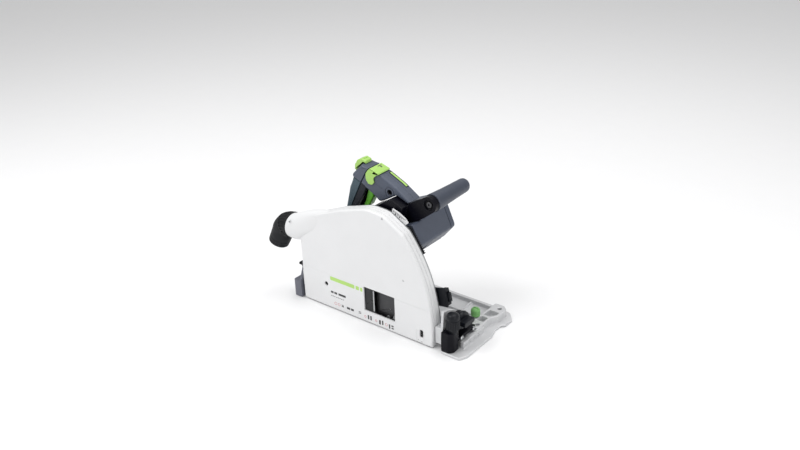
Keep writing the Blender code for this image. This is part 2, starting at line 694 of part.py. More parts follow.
def gear_case():
    """Black casting with the plunge arm, the gear chamber and the lug of the front handle."""
    top = [(*box_point(33.6, 25), 0), (225, 237.4, 1), (199, 248.4, 3), (170, 230.6, 3), (158, 225, 4)]
    case = solid("gear_case", prism(case_outline(top), "XZ", *CASE_Y), BLACK, "plunge_axis")
    arm = arc(PIVOT_X, PIVOT_Z, 19, 122, 302, 12) + arc(SPINDLE_X, SPINDLE_Z, 23.3, 302, 395, 8)
    arm += [(160, 152), (138, 140)]
    add(case, prism(arm, "XZ", 28.2, 43.3), "plunge_axis")
    lug = [box_point(12, 14.4), box_point(60, 14.4), box_point(77, 18)]
    lug += arc(FRONT_HANDLE_X, FRONT_HANDLE_Z, FRONT_HANDLE_R, -58, 118, 14)
    lug += [box_point(54, 48), (224.6, 237.2), (215, 232)]
    add(case, prism(lug, "XZ", 48, CASE_Y[1]), "plunge_axis")
    cut(case, disc("Y", (PIVOT_X, 0, PIVOT_Z), 8.3, 20, 50, 24), "plunge_axis")
    bore = SPINDLE_R + 0.6
    stepped = [(0, 20), (bore, 20), (bore, 31.2), (14.3, 31.2), (14.3, 38.9), (21.2, 38.9), (21.2, 70), (0, 70)]
    cut(case, turned(stepped, "Y", (SPINDLE_X, 0, SPINDLE_Z), 24), "plunge_axis")
    stepped = [(0, 34.9), (5.6, 34.9), (5.6, 38.4), (25.0, 38.4), (25.0, 71), (0, 71)]
    cut(case, turned(stepped, "Y", (IDLER_X, 0, IDLER_Z), 26), "plunge_axis")
    cut(case, disc("Y", (MOTOR_X, 0, MOTOR_Z), 13.3, 46, 72, 22), "plunge_axis")
    cut(case, disc("Y", (FRONT_HANDLE_X, 0, FRONT_HANDLE_Z), 9.6, 44, 52.5, 24), "plunge_axis")
    cut(case, disc("Y", (FRONT_HANDLE_X, 0, FRONT_HANDLE_Z), 3.4, 44, 65, 16), "plunge_axis")
    return case


def bearing_plate():
    """Plate between gear chamber and motor: seats for two bearings and a bush for the idler."""
    top = [(*box_point(33.6, 12), 6), (*box_point(24, 35), 8), (*box_point(-18, 36), 8), (158, 210, 6)]
    plate = solid("bearing_plate", prism(case_outline(top), "XZ", *PLATE_Y), GREY, "plunge_axis")
    for x, z, radius in ((SPINDLE_X, SPINDLE_Z, 11.3), (IDLER_X, IDLER_Z, 5.3), (MOTOR_X, MOTOR_Z, 13.3)):
        cut(plate, disc("Y", (x, 0, z), radius, 50, 80, 24), "plunge_axis")
    return plate


def motor_housing():
    """Box-shaped motor shell with a nose that reaches forward past the gear case."""
    housing = solid("motor_housing", prism(box_outline(), "XZ", *BOX_Y), SLATE, "plunge_axis")
    nose = [box_point(34, -38.5), box_point(50, -33), box_point(57, -27), box_point(57, 13.7), box_point(34, 13.7)]
    add(housing, prism(nose, "XZ", NOSE_Y, BOX_Y[0] + 1), "plunge_axis")
    cut(housing, prism(box_outline(3), "XZ", BOX_Y[0] + 3, BOX_Y[1] + 5), "plunge_axis")
    throat = disc("Y", (MOTOR_X, 0, MOTOR_Z), 33.5, BOX_Y[0] - 3, BOX_Y[0] + 5, 36)
    cut(housing, throat, "plunge_axis")
    hollow = [box_point(41.5, -30), box_point(54, -25), box_point(54, 10.5), box_point(41.5, 10.5)]
    cut(housing, prism(hollow, "XZ", NOSE_Y + 3, BOX_Y[0] + 10), "plunge_axis")
    return housing


def motor_end_cap():
    """Cup that closes the motor box and seats the rear bearing."""
    cap = solid("motor_end_cap", prism(box_outline(0.6), "XZ", *CAP_Y), SLATE, "plunge_axis")
    seat = arc(MOTOR_X, MOTOR_Z, 13, 0, 345, 23)
    cut(cap, prism(box_outline(4), "XZ", CAP_Y[0] - 3, CAP_Y[1] - 3, [seat]), "plunge_axis")
    cut(cap, disc("Y", (MOTOR_X, 0, MOTOR_Z), 9.3, CAP_Y[0] - 3, CAP_Y[1] - 3.2, 24), "plunge_axis")
    for k in range(5):
        low = -24 + 9 * k
        corners = ((-36, low), (-18, low), (-18, low + 4.5), (-36, low + 4.5))
        slot = rounded([box_point(*corner) for corner in corners], 2, 1)
        cut(cap, prism(slot, "XZ", CAP_Y[1] - 6, CAP_Y[1] + 3), "plunge_axis")
    return cap


def stator():
    ring = disc("Y", (MOTOR_X, 0, MOTOR_Z), 34, 81, 115, 32, 25.3)
    return solid("stator", ring, GREY, "plunge_axis")


def brush(name, side):
    start, end = sorted((side * 14.5, side * 27))
    outline = [box_point(start, -3), box_point(end, -3), box_point(end, 3), box_point(start, 3)]
    return solid(name, prism(outline, "XZ", 119, 126), COPPER, "plunge_axis")


def motor_electronics():
    outline = [box_point(46, -22), box_point(52, -22), box_point(52, 8), box_point(46, 8)]
    return solid("motor_electronics", prism(outline, "XZ", 80, 122), GREEN, "plunge_axis")


def bearing(name, x, z, bore, outer, start, end):
    ring = disc("Y", (x, 0, z), outer, start, end, 18, bore)
    return solid(name, ring, STEEL, "plunge_axis")


def armature():
    """Armature with its core, commutator and integral pinion."""
    r = 5.0
    profile = [(0, 49.4), (r, 49.4), (r, 82), (24.5, 82), (24.5, 114), (r, 114), (r, 118), (14, 118),
               (14, 127), (r, 127), (r, 138.5), (0, 138.5)]
    rotor = solid("armature", turned(profile, "Y", (MOTOR_X, 0, MOTOR_Z), 20), COPPER, "armature_axis")
    add(rotor, prism(gear_outline(MOTOR_X, MOTOR_Z, 10, PINION_R - 0.3, PINION_R - 2.2), "XZ", *STAGE_ONE_Y),
        "armature_axis")
    return rotor


def cooling_fan():
    fan = solid("cooling_fan", disc("Y", (MOTOR_X, 0, MOTOR_Z), 31.5, 72, 74, 24, 5.3), BLACK, "armature_axis")
    blades = gear_outline(MOTOR_X, MOTOR_Z, 9, 31, 12)
    bore = arc(MOTOR_X, MOTOR_Z, 5.3, 0, 337.5, 15)
    add(fan, prism(blades, "XZ", 73.5, 80, [bore]), "armature_axis")
    return fan


def idler_cluster():
    """Intermediate shaft with the big first-stage gear and the small second-stage pinion."""
    centre = (IDLER_X, 0, IDLER_Z)
    profile = [(0, 35.2), (5, 35.2), (5, 67), (0, 67)]
    cluster = solid("idler_cluster", turned(profile, "Y", centre, 20), STEEL, "idler_axis")
    add(cluster, prism(gear_outline(IDLER_X, IDLER_Z, 27, IDLER_GEAR_R - 0.3, IDLER_GEAR_R - 2.4), "XZ",
                       *STAGE_ONE_Y), "idler_axis")
    add(cluster, prism(gear_outline(IDLER_X, IDLER_Z, 11, IDLER_PINION_R - 0.3, IDLER_PINION_R - 2.6), "XZ",
                       *STAGE_TWO_Y), "idler_axis")
    return cluster


# ---------------------------------------------------------------- spindle and blade

def spindle_shaft():
    """Hollow-nosed spindle; the clamp screw runs into its bore."""
    r = SPINDLE_R
    profile = [(0, 22), (4, 22), (4, 8.9), (r, 8.9), (r, 67), (0, 67)]
    return solid("spindle_shaft", turned(profile, "Y", (SPINDLE_X, 0, SPINDLE_Z), 24), STEEL, "spindle_axis")


def drive_gear():
    bore = arc(SPINDLE_X, SPINDLE_Z, SPINDLE_R + GAP, 0, 340, 17)
    outline = gear_outline(SPINDLE_X, SPINDLE_Z, 20, DRIVE_GEAR_R - 0.3, DRIVE_GEAR_R - 2.6)
    return solid("drive_gear", prism(outline, "XZ", *STAGE_TWO_Y, [bore]), STEEL, "spindle_axis")


def inner_flange():
    """Flange behind the blade, with the hub that centres the blade's bore."""
    r = SPINDLE_R + GAP
    profile = [(r, 8.9), (BLADE_BORE - GAP, 8.9), (BLADE_BORE - GAP, BLADE_Y[1] + GAP), (FLANGE_R, BLADE_Y[1] + GAP),
               (FLANGE_R, 16), (12, 17.3), (r, 17.3)]
    return solid("inner_flange", turned(profile, "Y", (SPINDLE_X, 0, SPINDLE_Z), 24), GREY, "spindle_axis")


def outer_flange():
    profile = [(4, 7.2), (9.3, 7.2), (9.3, 5.9), (18, 5.9), (FLANGE_R, 7), (FLANGE_R, BLADE_Y[0] - GAP),
               (16, BLADE_Y[0] - GAP), (16, 8.6), (4, 8.6)]
    return solid("outer_flange", turned(profile, "Y", (SPINDLE_X, 0, SPINDLE_Z), 24), GREY, "spindle_axis")


def blade_screw():
    head = [polar(SPINDLE_X, SPINDLE_Z, 8.6, 60 * i) for i in range(6)]
    screw = solid("blade_screw", prism(head, "XZ", 4.8, 6.9), STEEL, "spindle_axis")
    add(screw, disc("Y", (SPINDLE_X, 0, SPINDLE_Z), 3.6, 6, 19, 18), "spindle_axis")
    return screw


def saw_blade():
    bore = arc(SPINDLE_X, SPINDLE_Z, BLADE_BORE, 0, 345, 23)
    return solid("saw_blade", prism(blade_outline(SPINDLE_X, SPINDLE_Z), "XZ", *BLADE_Y, [bore]), STEEL,
                 "spindle_axis")


def riving_knife():
    """Steel knife that follows the blade, with the carrier that bolts to the gear case's spindle boss."""
    sector = arc(SPINDLE_X, SPINDLE_Z, 121, 186, 231, 6) + arc(SPINDLE_X, SPINDLE_Z, 107.5, 231, 186, 6)
    knife = solid("riving_knife", prism(sector, "XZ", 10.0, 12.0), STEEL, "plunge_axis")
    link = arc(SPINDLE_X, SPINDLE_Z, 121, 197, 207, 3) + arc(SPINDLE_X, SPINDLE_Z, 108, 207, 197, 3)
    add(knife, prism(link, "XZ", 11.5, 19), "plunge_axis")
    hub = arc(SPINDLE_X, SPINDLE_Z, 15, 230, 534, 14)
    carrier = [polar(SPINDLE_X, SPINDLE_Z, 120, 197.5), polar(SPINDLE_X, SPINDLE_Z, 120, 206.5)]
    bore = arc(SPINDLE_X, SPINDLE_Z, SPINDLE_R + 1, 0, 337.5, 15)
    add(knife, prism(carrier + hub, "XZ", 18, 21.5, [bore]), "plunge_axis")
    ring = disc("Y", (SPINDLE_X, 0, SPINDLE_Z), 11, 20.5, 27.9, 16, SPINDLE_R + 1)
    add(knife, ring, "plunge_axis")
    return knife


# ---------------------------------------------------------------- rear handle and its controls

ARM_TOP = [(198, 263.5), (165, 279.2), (139.4, 286.8)]


def handle_half(name, start, end):
    """Half shell of the handle's head and arm, with its share of the switch chamber."""
    outline = rounded([(228.4, 243.6, 1)] + [(x, z, 6) for x, z in ARM_TOP] + [(131.7, 277.4, 0), (118.9, 255.4, 0),
                      (129.5, 247.4, 1), (150, 236, 4), (160, 228, 3), (169, 231.8, 4), (199, 249.6, 3),
                      (223.8, 239.2, 1)], 0, 3)
    half = solid(name, prism(outline, "XZ", start, end), SLATE, "plunge_axis")
    chamber = [(150, 252), (172, 244), (182, 262), (152, 274)]
    cut(half, prism(chamber, "XZ", 54, 78), "plunge_axis")
    trigger_slot = [(120, 262), (146, 262), (152, 240), (140, 225), (110, 235)]
    cut(half, prism(trigger_slot, "XZ", 57.4, 74.6), "plunge_axis")
    return half


def handle_head_cap():
    """Slate cap behind the seam that carries the plunge release."""
    outline = rounded([(121, 291, 3), (139, 287.2, 2), (131, 277.9, 0), (118.2, 256.2, 0), (101, 262.6, 2),
                       (97, 267, 2)], 0, 3)
    return solid("handle_head_cap", prism(outline, "XZ", HANDLE_Y[0] - 0.6, HANDLE_Y[1] + 0.6), SLATE, "plunge_axis")


def grip_band():
    """Soft rear band of the grip."""
    outer = [(100.8, 262.0, 1), (87.5, 241, 12), (76.5, 200, 20), (71, 168, 20), (76, 136, 8), (89.5, 140, 0)]
    inner = [(85.2, 165, 16), (87.2, 190.2, 10), (95.9, 211.2, 14), (117.8, 255.8, 0)]
    outline = rounded(outer + inner, 0, 4)
    return solid("grip_band", prism(outline, "XZ", HANDLE_Y[0], HANDLE_Y[1]), TEAL, "plunge_axis")


def inner_grip():
    """Inner half of the grip and the foot that joins it to the gear case."""
    inner = [(129, 247.2, 0), (121, 230, 12), (107.5, 208, 16), (103, 185, 14), (104, 163, 12), (113, 147, 10),
             (128, 141, 6), (149, 141, 0), (149, 113, 0), (116, 114, 10), (99, 122, 10)]
    seam = [(90.2, 140.4, 8), (85.9, 165, 16), (87.9, 190, 10), (96.6, 210.8, 14), (118.9, 255.0, 0)]
    outline = rounded(inner + seam, 0, 4)
    grip = solid("inner_grip", prism(outline, "XZ", HANDLE_Y[0] + 0.8, HANDLE_Y[1] - 0.8), BLACK, "plunge_axis")
    slot = [(134, 258), (112, 246), (103.5, 213), (98, 198), (130, 198), (140, 230)]
    cut(grip, prism(slot, "XZ", 57.4, 74.6), "plunge_axis")
    cut(grip, disc("X", (0, HANDLE_MID, 124), 10.9, 60, 100, 24), "plunge_axis")
    return grip


def power_inlet():
    """Socket at the foot of the grip for the detachable supply lead."""
    profile = [(0, 99.6), (10.5, 99.6), (10.5, 77), (8, 77), (8, 92), (0, 92)]
    inlet = solid("power_inlet", turned(profile, "X", (0, HANDLE_MID, 124), 24), BLACK, "plunge_axis")
    return inlet


def switch_module():
    outline = [(151, 253), (171.3, 245.7), (180.8, 261.6), (152.8, 272.6)]
    return solid("switch_module", prism(outline, "XZ", 55, 77), GREY, "plunge_axis")


def trigger():
    """Green finger trigger, hinged under the head."""
    outline = rounded([(128, 251, 2), (138, 255, 3), (142, 245, 3), (139, 228, 8), (129, 209, 6), (119, 203.5, 3),
                       (113.5, 206.5, 2), (119, 218, 6), (124, 234, 8)], 0, 4)
    return solid("trigger", prism(outline, "XZ", 58, 74), GREEN, "trigger_axis")


def plunge_release():
    """Thumb slider on the head cap that unlatches the plunge."""
    outline = rounded([(102, 273.2, 0), (120.3, 291.6, 0), (126.5, 290.4, 1), (125.5, 296, 3), (116, 299, 4),
                       (106, 294, 5), (99.5, 284, 4), (98.8, 275, 1)], 0, 3)
    return solid("plunge_release", prism(outline, "XZ", 57, 75), GREEN, "release_axis")


def spindle_lock_lever():
    """C-shaped lever over the head's front corner that locks the spindle for a blade change."""
    top = rounded([(142.5, 286.6, 0), (162, 280.9, 0), (163.5, 281.6, 0.6), (162, 283.6, 1), (143, 289.4, 1)], 0, 3)
    lever = solid("spindle_lock_lever", prism(top, "XZ", 47.2, 80), GREEN, "lock_axis")
    hook = rounded([(143, 288.6, 1), (161.8, 282.9, 1), (162.8, 281, 1), (156.5, 278, 4), (149.5, 271, 6), (151.5, 263.5, 3), (146, 258, 4), (138, 258.5, 4), (132.5, 266, 8),
                    (132.5, 277, 8), (138.5, 285, 4)], 0, 3)
    add(lever, prism(hook, "XZ", 47.2, 49.1), "lock_axis")
    return lever


def front_handle():
    """Second handle, standing out sideways from the gear case's lug."""
    end = FRONT_HANDLE_END
    profile = [(0, 60.0), (16.8, 60.0), (16.0, 74), (14.9, 96), (14.0, 122), (13.4, end - 11), (12.7, end - 4.5),
               (10.6, end - 1.4), (6, end - 0.2), (0, end)]
    handle = solid("front_handle", turned(profile, "Y", (FRONT_HANDLE_X, 0, FRONT_HANDLE_Z), 22), SLATE,
                   "plunge_axis")
    cut(handle, disc("Y", (FRONT_HANDLE_X, 0, FRONT_HANDLE_Z), 3.4, 50, 72, 16), "plunge_axis")
    return handle


def front_handle_screw():
    head = [(0, 49.6), (5, 49.6), (5.6, 50.4), (5.6, 52.2), (3.1, 52.2), (3.1, 71), (0, 71)]
    screw = solid("front_handle_screw", turned(head, "Y", (FRONT_HANDLE_X, 0, FRONT_HANDLE_Z), 18), STEEL,
                  "plunge_axis")
    cut(screw, disc("Y", (FRONT_HANDLE_X, 0, FRONT_HANDLE_Z), 2.4, 48, 51, 6), "plunge_axis")
    return screw


def speed_dial():
    """Speed dial on the motor's end cap."""
    x, y, z = AXES["dial_axis"][0]
    dial = solid("speed_dial", prism(gear_outline(x, z, 18, 8.5, 7.9), "XZ", CAP_Y[1] + GAP, CAP_Y[1] + 5), GREEN,
                 "dial_axis")
    return dial


# ---------------------------------------------------------------- assembly

def build():
    base_plate()
    guide_knob("guide_knob_front", "guide_front_axis")
    guide_knob("guide_knob_rear", "guide_rear_axis")
    front_clamp_bracket()
    bracket_screw("bracket_screw_inner", 30)
    bracket_screw("bracket_screw_outer", 67)
    bevel_clamp_knob("bevel_clamp_knob_front", "front_clamp_axis", 337.0, 1, 14.0, 17.0, 12.0)
    bevel_clamp_knob("bevel_clamp_knob_rear", "rear_clamp_axis", -10.0, -1, 9.0, 9.5, 7.0)
    bevel_stop_knob()
    rear_clamp_bracket()
    blade_guard()
    guard_back_plate()
    dust_port()
    front_foot = block(311.8, 325, 6, 26, 12, 44)
    bevel_segment("front_bevel_segment", 323.0, 328.2, CLAMP_ANGLE_FRONT, front_foot)
    rear_foot = block(-2.0, 0.7, 4, 19, 28, 60)
    bevel_segment("rear_bevel_segment", -3.9, -0.9, CLAMP_ANGLE_REAR, rear_foot)
    pivot_shaft()
    pivot_ring()
    plunge_spring()
    depth_scale()
    depth_rack()
    depth_stop()
    depth_stop_button()
    sight_panel()
    swivel_collar()
    dust_elbow()
    gear_case()
    bearing_plate()
    motor_housing()
    motor_end_cap()
    stator()
    brush("brush_front", 1)
    brush("brush_rear", -1)
    motor_electronics()
    bearing("spindle_bearing_front", SPINDLE_X, SPINDLE_Z, SPINDLE_R + GAP, 14, 31.5, 38.6)
    bearing("spindle_bearing_rear", SPINDLE_X, SPINDLE_Z, SPINDLE_R + GAP, 11, 60.4, 67)
    bearing("armature_bearing_front", MOTOR_X, MOTOR_Z, 5.3, 13, 60.4, 67.8)
    bearing("armature_bearing_rear", MOTOR_X, MOTOR_Z, 5.3, 9, CAP_Y[0] + 2.3, CAP_Y[1] - 3.3)
    armature()
    cooling_fan()
    idler_cluster()
    spindle_shaft()
    drive_gear()
    inner_flange()
    outer_flange()
    blade_screw()
    saw_blade()
    riving_knife()
    handle_half("handle_near_half", HANDLE_Y[0], HANDLE_MID - 0.15)
    handle_half("handle_far_half", HANDLE_MID + 0.15, HANDLE_Y[1])
    handle_head_cap()
    grip_band()
    inner_grip()
    power_inlet()
    switch_module()
    trigger()
    plunge_release()
    spindle_lock_lever()
    front_handle()
    front_handle_screw()
    speed_dial()


clear_scene()
EMPTIES = make_axes()
build()
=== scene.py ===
import json
from math import asin, cos, degrees, hypot, pi, radians, sin

import bmesh
import bpy
from mathutils import Matrix, Vector

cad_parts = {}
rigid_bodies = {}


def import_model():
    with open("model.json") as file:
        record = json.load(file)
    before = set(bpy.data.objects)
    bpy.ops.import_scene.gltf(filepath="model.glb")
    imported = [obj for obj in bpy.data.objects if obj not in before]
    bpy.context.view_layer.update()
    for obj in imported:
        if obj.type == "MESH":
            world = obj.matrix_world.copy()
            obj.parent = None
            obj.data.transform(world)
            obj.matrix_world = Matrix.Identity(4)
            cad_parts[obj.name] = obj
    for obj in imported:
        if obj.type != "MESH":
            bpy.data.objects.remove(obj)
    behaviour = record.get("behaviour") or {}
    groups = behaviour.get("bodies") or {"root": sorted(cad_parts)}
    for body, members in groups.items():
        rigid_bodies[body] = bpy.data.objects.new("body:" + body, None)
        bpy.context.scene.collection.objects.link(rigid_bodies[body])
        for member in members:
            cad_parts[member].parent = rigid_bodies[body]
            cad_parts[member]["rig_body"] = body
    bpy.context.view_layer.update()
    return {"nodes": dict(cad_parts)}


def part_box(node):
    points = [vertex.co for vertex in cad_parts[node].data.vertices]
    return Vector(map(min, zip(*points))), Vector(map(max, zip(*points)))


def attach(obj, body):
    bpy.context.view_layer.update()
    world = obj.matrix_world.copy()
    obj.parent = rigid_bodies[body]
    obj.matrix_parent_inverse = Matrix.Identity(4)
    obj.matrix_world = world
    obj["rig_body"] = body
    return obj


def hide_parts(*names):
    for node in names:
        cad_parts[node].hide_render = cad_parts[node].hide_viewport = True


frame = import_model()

# Lengths are in millimetres from the rear bottom edge of the guard's outer face: +X is the cutting
# direction, +Y goes from the blade to the motor and +Z is up. They become metres when a mesh is made.
MM = 0.001
NODES = frame["nodes"]
GUARD_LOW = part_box("blade_guard")[0]
ORIGIN = Vector((GUARD_LOW.x - MM, GUARD_LOW.y, 0))


def middle_of(node):
    """Centre of a node's box in millimetres."""
    low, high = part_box(node)
    return ((low + high) / 2 - ORIGIN) / MM


SPINDLE_X, _, SPINDLE_Z = middle_of("inner_flange")
MOTOR_X, _, MOTOR_Z = middle_of("stator")
STOP_KNOB = middle_of("bevel_stop_knob")
PIVOT_X, _, PIVOT_Z = middle_of("pivot_retaining_ring")
HANDLE_NEAR = (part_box("handle_near_half")[0].y - ORIGIN.y) / MM
HANDLE_FAR = (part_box("handle_far_half")[1].y - ORIGIN.y) / MM
HANDLE_MID = (HANDLE_NEAR + HANDLE_FAR) / 2

FACE_LEAN = radians(23.6)       # of the motor box's front face
GUARD_R = 280.0                 # guard's rim, about the plunge axis
PORT_END_X = -27.0              # outer end of the dust duct, and its centre and radius there
PORT_Y = 13.0
PORT_Z = 146.0
PORT_R = 23.5
PORT_ROOT_X = 45.0              # duct's inner end, where it has grown into an upright oval
PORT_ROOT_Z = 166.0
BEND_X = -29.0                  # where the hose elbow starts to bend, and the bend's radius
BEND_R = 25.2
ELBOW_TILT = radians(8)         # swing of the elbow about the duct's axis
BLADE_R = 105.0
GULLET_R = BLADE_R - 7.8        # bottom of the gaps between teeth
SLOT_R = 86.1                   # blade's expansion slots
TEETH = 36
BLADE_MID = 11.0                # middle of the blade's thickness in Y
MOTOR_SEAM = 128.0              # where the motor's housing meets its end cap in Y
ARM_BOSS = (184.4, 0, 251.7)    # screw boss on the handle's near half
PRINT_DEPTH = 0.2               # how far printed shapes reach into the guard's face
SCALE_FACE = 27.22              # near face of the ticks on the depth scale in Y
LEVER_TOP = (143.0, 289.4)      # rear end of the lock lever's top face, and its slope
LEVER_SLOPE = 0.305


# ---------------------------------------------------------------- materials

def node(tree, kind, **values):
    made = tree.nodes.new(kind)
    for key, value in values.items():
        if key in made.inputs:
            made.inputs[key].default_value = value
        else:
            setattr(made, key, value)
    return made


def noise(tree, coordinates, scale, detail=4.0, rough=0.55):
    made = node(tree, "ShaderNodeTexNoise")
    made.inputs["Scale"].default_value = scale
    made.inputs["Detail"].default_value = detail
    made.inputs["Roughness"].default_value = rough
    tree.links.new(coordinates, made.inputs["Vector"])
    return made.outputs["Fac"]


def spread(tree, source, from_low, from_high, to_low, to_high):
    """Maps one range of numbers to another."""
    made = node(tree, "ShaderNodeMapRange")
    for name, value in (("From Min", from_low), ("From Max", from_high), ("To Min", to_low), ("To Max", to_high)):
        made.inputs[name].default_value = value
    tree.links.new(source, made.inputs["Value"])
    return made.outputs["Result"]


def mix_colour(tree, factor, first, second):
    made = tree.nodes.new("ShaderNodeMix")
    made.data_type = "RGBA"
    tree.links.new(factor, made.inputs["Factor"])
    for socket, value in ((made.inputs[6], first), (made.inputs[7], second)):
        if isinstance(value, tuple):
            socket.default_value = (*value, 1)
        else:
            tree.links.new(value, socket)
    return made.outputs[2]


def tone(colour, gain):
    return tuple(min(1.0, c * gain) for c in colour)


def surface(name, colour, rough, metal=0.0, grain=1400.0, depth=0.00004, vary=0.10, wear=0.25, spread_rough=0.08,
            edge=0.0, shine=0.5):
    """Moulded or cast finish: fine grain, slow colour drift, uneven gloss and paler worn edges."""
    made = bpy.data.materials.new(name)
    made.use_nodes = True
    tree = made.node_tree
    shader = tree.nodes["Principled BSDF"]
    shader.inputs["Metallic"].default_value = metal
    shader.inputs["Specular IOR Level"].default_value = shine
    place = node(tree, "ShaderNodeTexCoord").outputs["Object"]
    drift = noise(tree, place, 22.0, 3.0)
    speck = noise(tree, place, grain * 0.35, 2.0)
    base = mix_colour(tree, spread(tree, drift, 0.3, 0.7, 0, 1), tone(colour, 1 - vary), tone(colour, 1 + vary))
    base = mix_colour(tree, spread(tree, speck, 0.55, 0.8, 0, 0.5), base, tone(colour, 1 + 1.5 * vary))
    point = node(tree, "ShaderNodeNewGeometry").outputs["Pointiness"]
    worn = spread(tree, point, 0.51, 0.60, 0, wear)
    pale = tuple(min(1.0, c * 0.8 + 0.12) for c in colour)
    base = mix_colour(tree, worn, base, pale)
    tree.links.new(base, shader.inputs["Base Color"])
    smudge = noise(tree, place, 60.0, 5.0, 0.6)
    gloss = spread(tree, smudge, 0.25, 0.75, rough - spread_rough, rough + spread_rough)
    tree.links.new(gloss, shader.inputs["Roughness"])
    fine = noise(tree, place, grain, 3.0, 0.6)
    bump = node(tree, "ShaderNodeBump")
    bump.inputs["Strength"].default_value = 0.6
    bump.inputs["Distance"].default_value = depth
    tree.links.new(fine, bump.inputs["Height"])
    if edge > 0:
        soft = node(tree, "ShaderNodeBevel", samples=4)
        soft.inputs["Radius"].default_value = edge
        tree.links.new(soft.outputs["Normal"], bump.inputs["Normal"])
    tree.links.new(bump.outputs["Normal"], shader.inputs["Normal"])
    return made


def turned_steel(name, colour, centre, rough=0.27, rings=900.0):
    """Steel ground or turned in rings about a line along Y through a centre."""
    made = surface(name, colour, rough, metal=1.0, grain=2500.0, depth=0.00001, vary=0.06, wear=0.1)
    tree = made.node_tree
    shader = tree.nodes["Principled BSDF"]
    place = node(tree, "ShaderNodeTexCoord").outputs["Object"]
    middle = ORIGIN + Vector((centre[0], 0, centre[1])) * MM
    away = node(tree, "ShaderNodeVectorMath", operation="SUBTRACT")
    tree.links.new(place, away.inputs[0])
    away.inputs[1].default_value = middle
    flat = node(tree, "ShaderNodeVectorMath", operation="MULTIPLY")
    tree.links.new(away.outputs[0], flat.inputs[0])
    flat.inputs[1].default_value = (1, 0, 1)
    length = node(tree, "ShaderNodeVectorMath", operation="LENGTH")
    tree.links.new(flat.outputs[0], length.inputs[0])
    line = node(tree, "ShaderNodeTexNoise", noise_dimensions="1D")
    line.inputs["Scale"].default_value = rings
    line.inputs["Detail"].default_value = 4.0
    tree.links.new(length.outputs["Value"], line.inputs["W"])
    tree.links.new(spread(tree, line.outputs["Fac"], 0.3, 0.7, rough - 0.07, rough + 0.12),
                   shader.inputs["Roughness"])
    bump = node(tree, "ShaderNodeBump")
    bump.inputs["Strength"].default_value = 0.5
    bump.inputs["Distance"].default_value = 0.00003
    tree.links.new(line.outputs["Fac"], bump.inputs["Height"])
    tree.links.new(bump.outputs["Normal"], shader.inputs["Normal"])
    return made


def smoked(name):
    """Tinted see-through plastic with faint scuffs."""
    made = surface(name, (0.016, 0.017, 0.019), 0.3, vary=0.1, wear=0.0, grain=500.0, depth=0.00001)
    shader = made.node_tree.nodes["Principled BSDF"]
    shader.inputs["Transmission Weight"].default_value = 0.5
    shader.inputs["Specular IOR Level"].default_value = 0.2
    shader.inputs["IOR"].default_value = 1.49
    return made


WHITE = surface("white_shell", (0.735, 0.738, 0.745), 0.42, vary=0.012, wear=0.02, grain=1800.0, depth=0.00002)
# Pale colour of the strip on the sight panel's front edge: a painted highlight on that edge.
PALE = surface("painted_edge_highlight", (0.55, 0.56, 0.57), 0.4, vary=0.05, wear=0.05, grain=1500.0)
CAST = surface("cast_alloy", (0.62, 0.625, 0.635), 0.44, metal=0.25, vary=0.05, wear=0.25, grain=900.0,
               depth=0.00012, edge=0.0005)
GREY = surface("plain_metal", (0.42, 0.43, 0.44), 0.38, metal=0.8, vary=0.08, wear=0.15, grain=1100.0,
               edge=0.0004)
SLATE = surface("slate_shell", (0.067, 0.080, 0.113), 0.42, vary=0.08, wear=0.12, grain=1500.0, depth=0.00007,
                shine=0.4)
HANDLE = surface("handle_shell", (0.048, 0.057, 0.080), 0.45, vary=0.08, wear=0.14, grain=1200.0, depth=0.0001,
                 shine=0.4)
# Lighter copy of the slate finish for the rear clamp bracket: the extra lightness is painted light on its face.
LIT_BRACKET = surface("bracket_shell_painted_light", (0.125, 0.130, 0.160), 0.42, vary=0.08, wear=0.12, grain=1500.0, depth=0.00007,
                  shine=0.4)
TEAL = surface("grip_rubber", (0.050, 0.080, 0.100), 0.62, vary=0.10, wear=0.10, grain=700.0, depth=0.00016,
               shine=0.35)
INNER = surface("inner_rubber", (0.016, 0.018, 0.024), 0.60, vary=0.15, wear=0.15, grain=700.0, depth=0.00014,
                shine=0.25)
BLACK = surface("black_plastic", (0.005, 0.006, 0.009), 0.34, vary=0.15, wear=0.10, grain=1300.0, depth=0.00007,
                shine=0.2)
BLACK_CAST = surface("black_casting", (0.003, 0.003, 0.006), 0.34, vary=0.2, wear=0.05, grain=1000.0,
                     depth=0.00010, spread_rough=0.12, shine=0.12)
HOSE = surface("hose_rubber", (0.007, 0.0075, 0.009), 0.5, vary=0.18, wear=0.10, grain=900.0, depth=0.00012,
               shine=0.2)
GREEN = surface("green_plastic", (0.13, 0.46, 0.035), 0.38, vary=0.06, wear=0.10, grain=1500.0, depth=0.00005,
                shine=0.4)
DULL_GREEN = surface("dull_green_plastic", (0.16, 0.40, 0.12), 0.42, vary=0.06, wear=0.10, grain=1500.0,
                     depth=0.00005)
PALE_GREEN = surface("pale_green_plastic", (0.36, 0.60, 0.13), 0.38, vary=0.05, wear=0.10, grain=1500.0,
                     depth=0.00005)
STEEL = surface("bright_steel", (0.56, 0.57, 0.58), 0.26, metal=1.0, vary=0.06, wear=0.2, grain=1500.0,
                edge=0.0003)
DARK_STEEL = surface("blackened_steel", (0.05, 0.05, 0.055), 0.35, metal=0.9, vary=0.15, wear=0.5, grain=1500.0,
                     edge=0.0003)
COPPER = surface("copper_winding", (0.60, 0.28, 0.14), 0.36, metal=0.9, vary=0.2, wear=0.2, grain=1100.0,
                 edge=0.0003)
BOARD = surface("circuit_board", (0.05, 0.22, 0.09), 0.4, vary=0.2, wear=0.1, grain=800.0)
CARBIDE = surface("carbide", (0.25, 0.25, 0.26), 0.35, metal=0.9, vary=0.15, wear=0.2, grain=1600.0)
INK = surface("black_print", (0.030, 0.030, 0.032), 0.5, vary=0.1, wear=0.0, grain=2000.0)
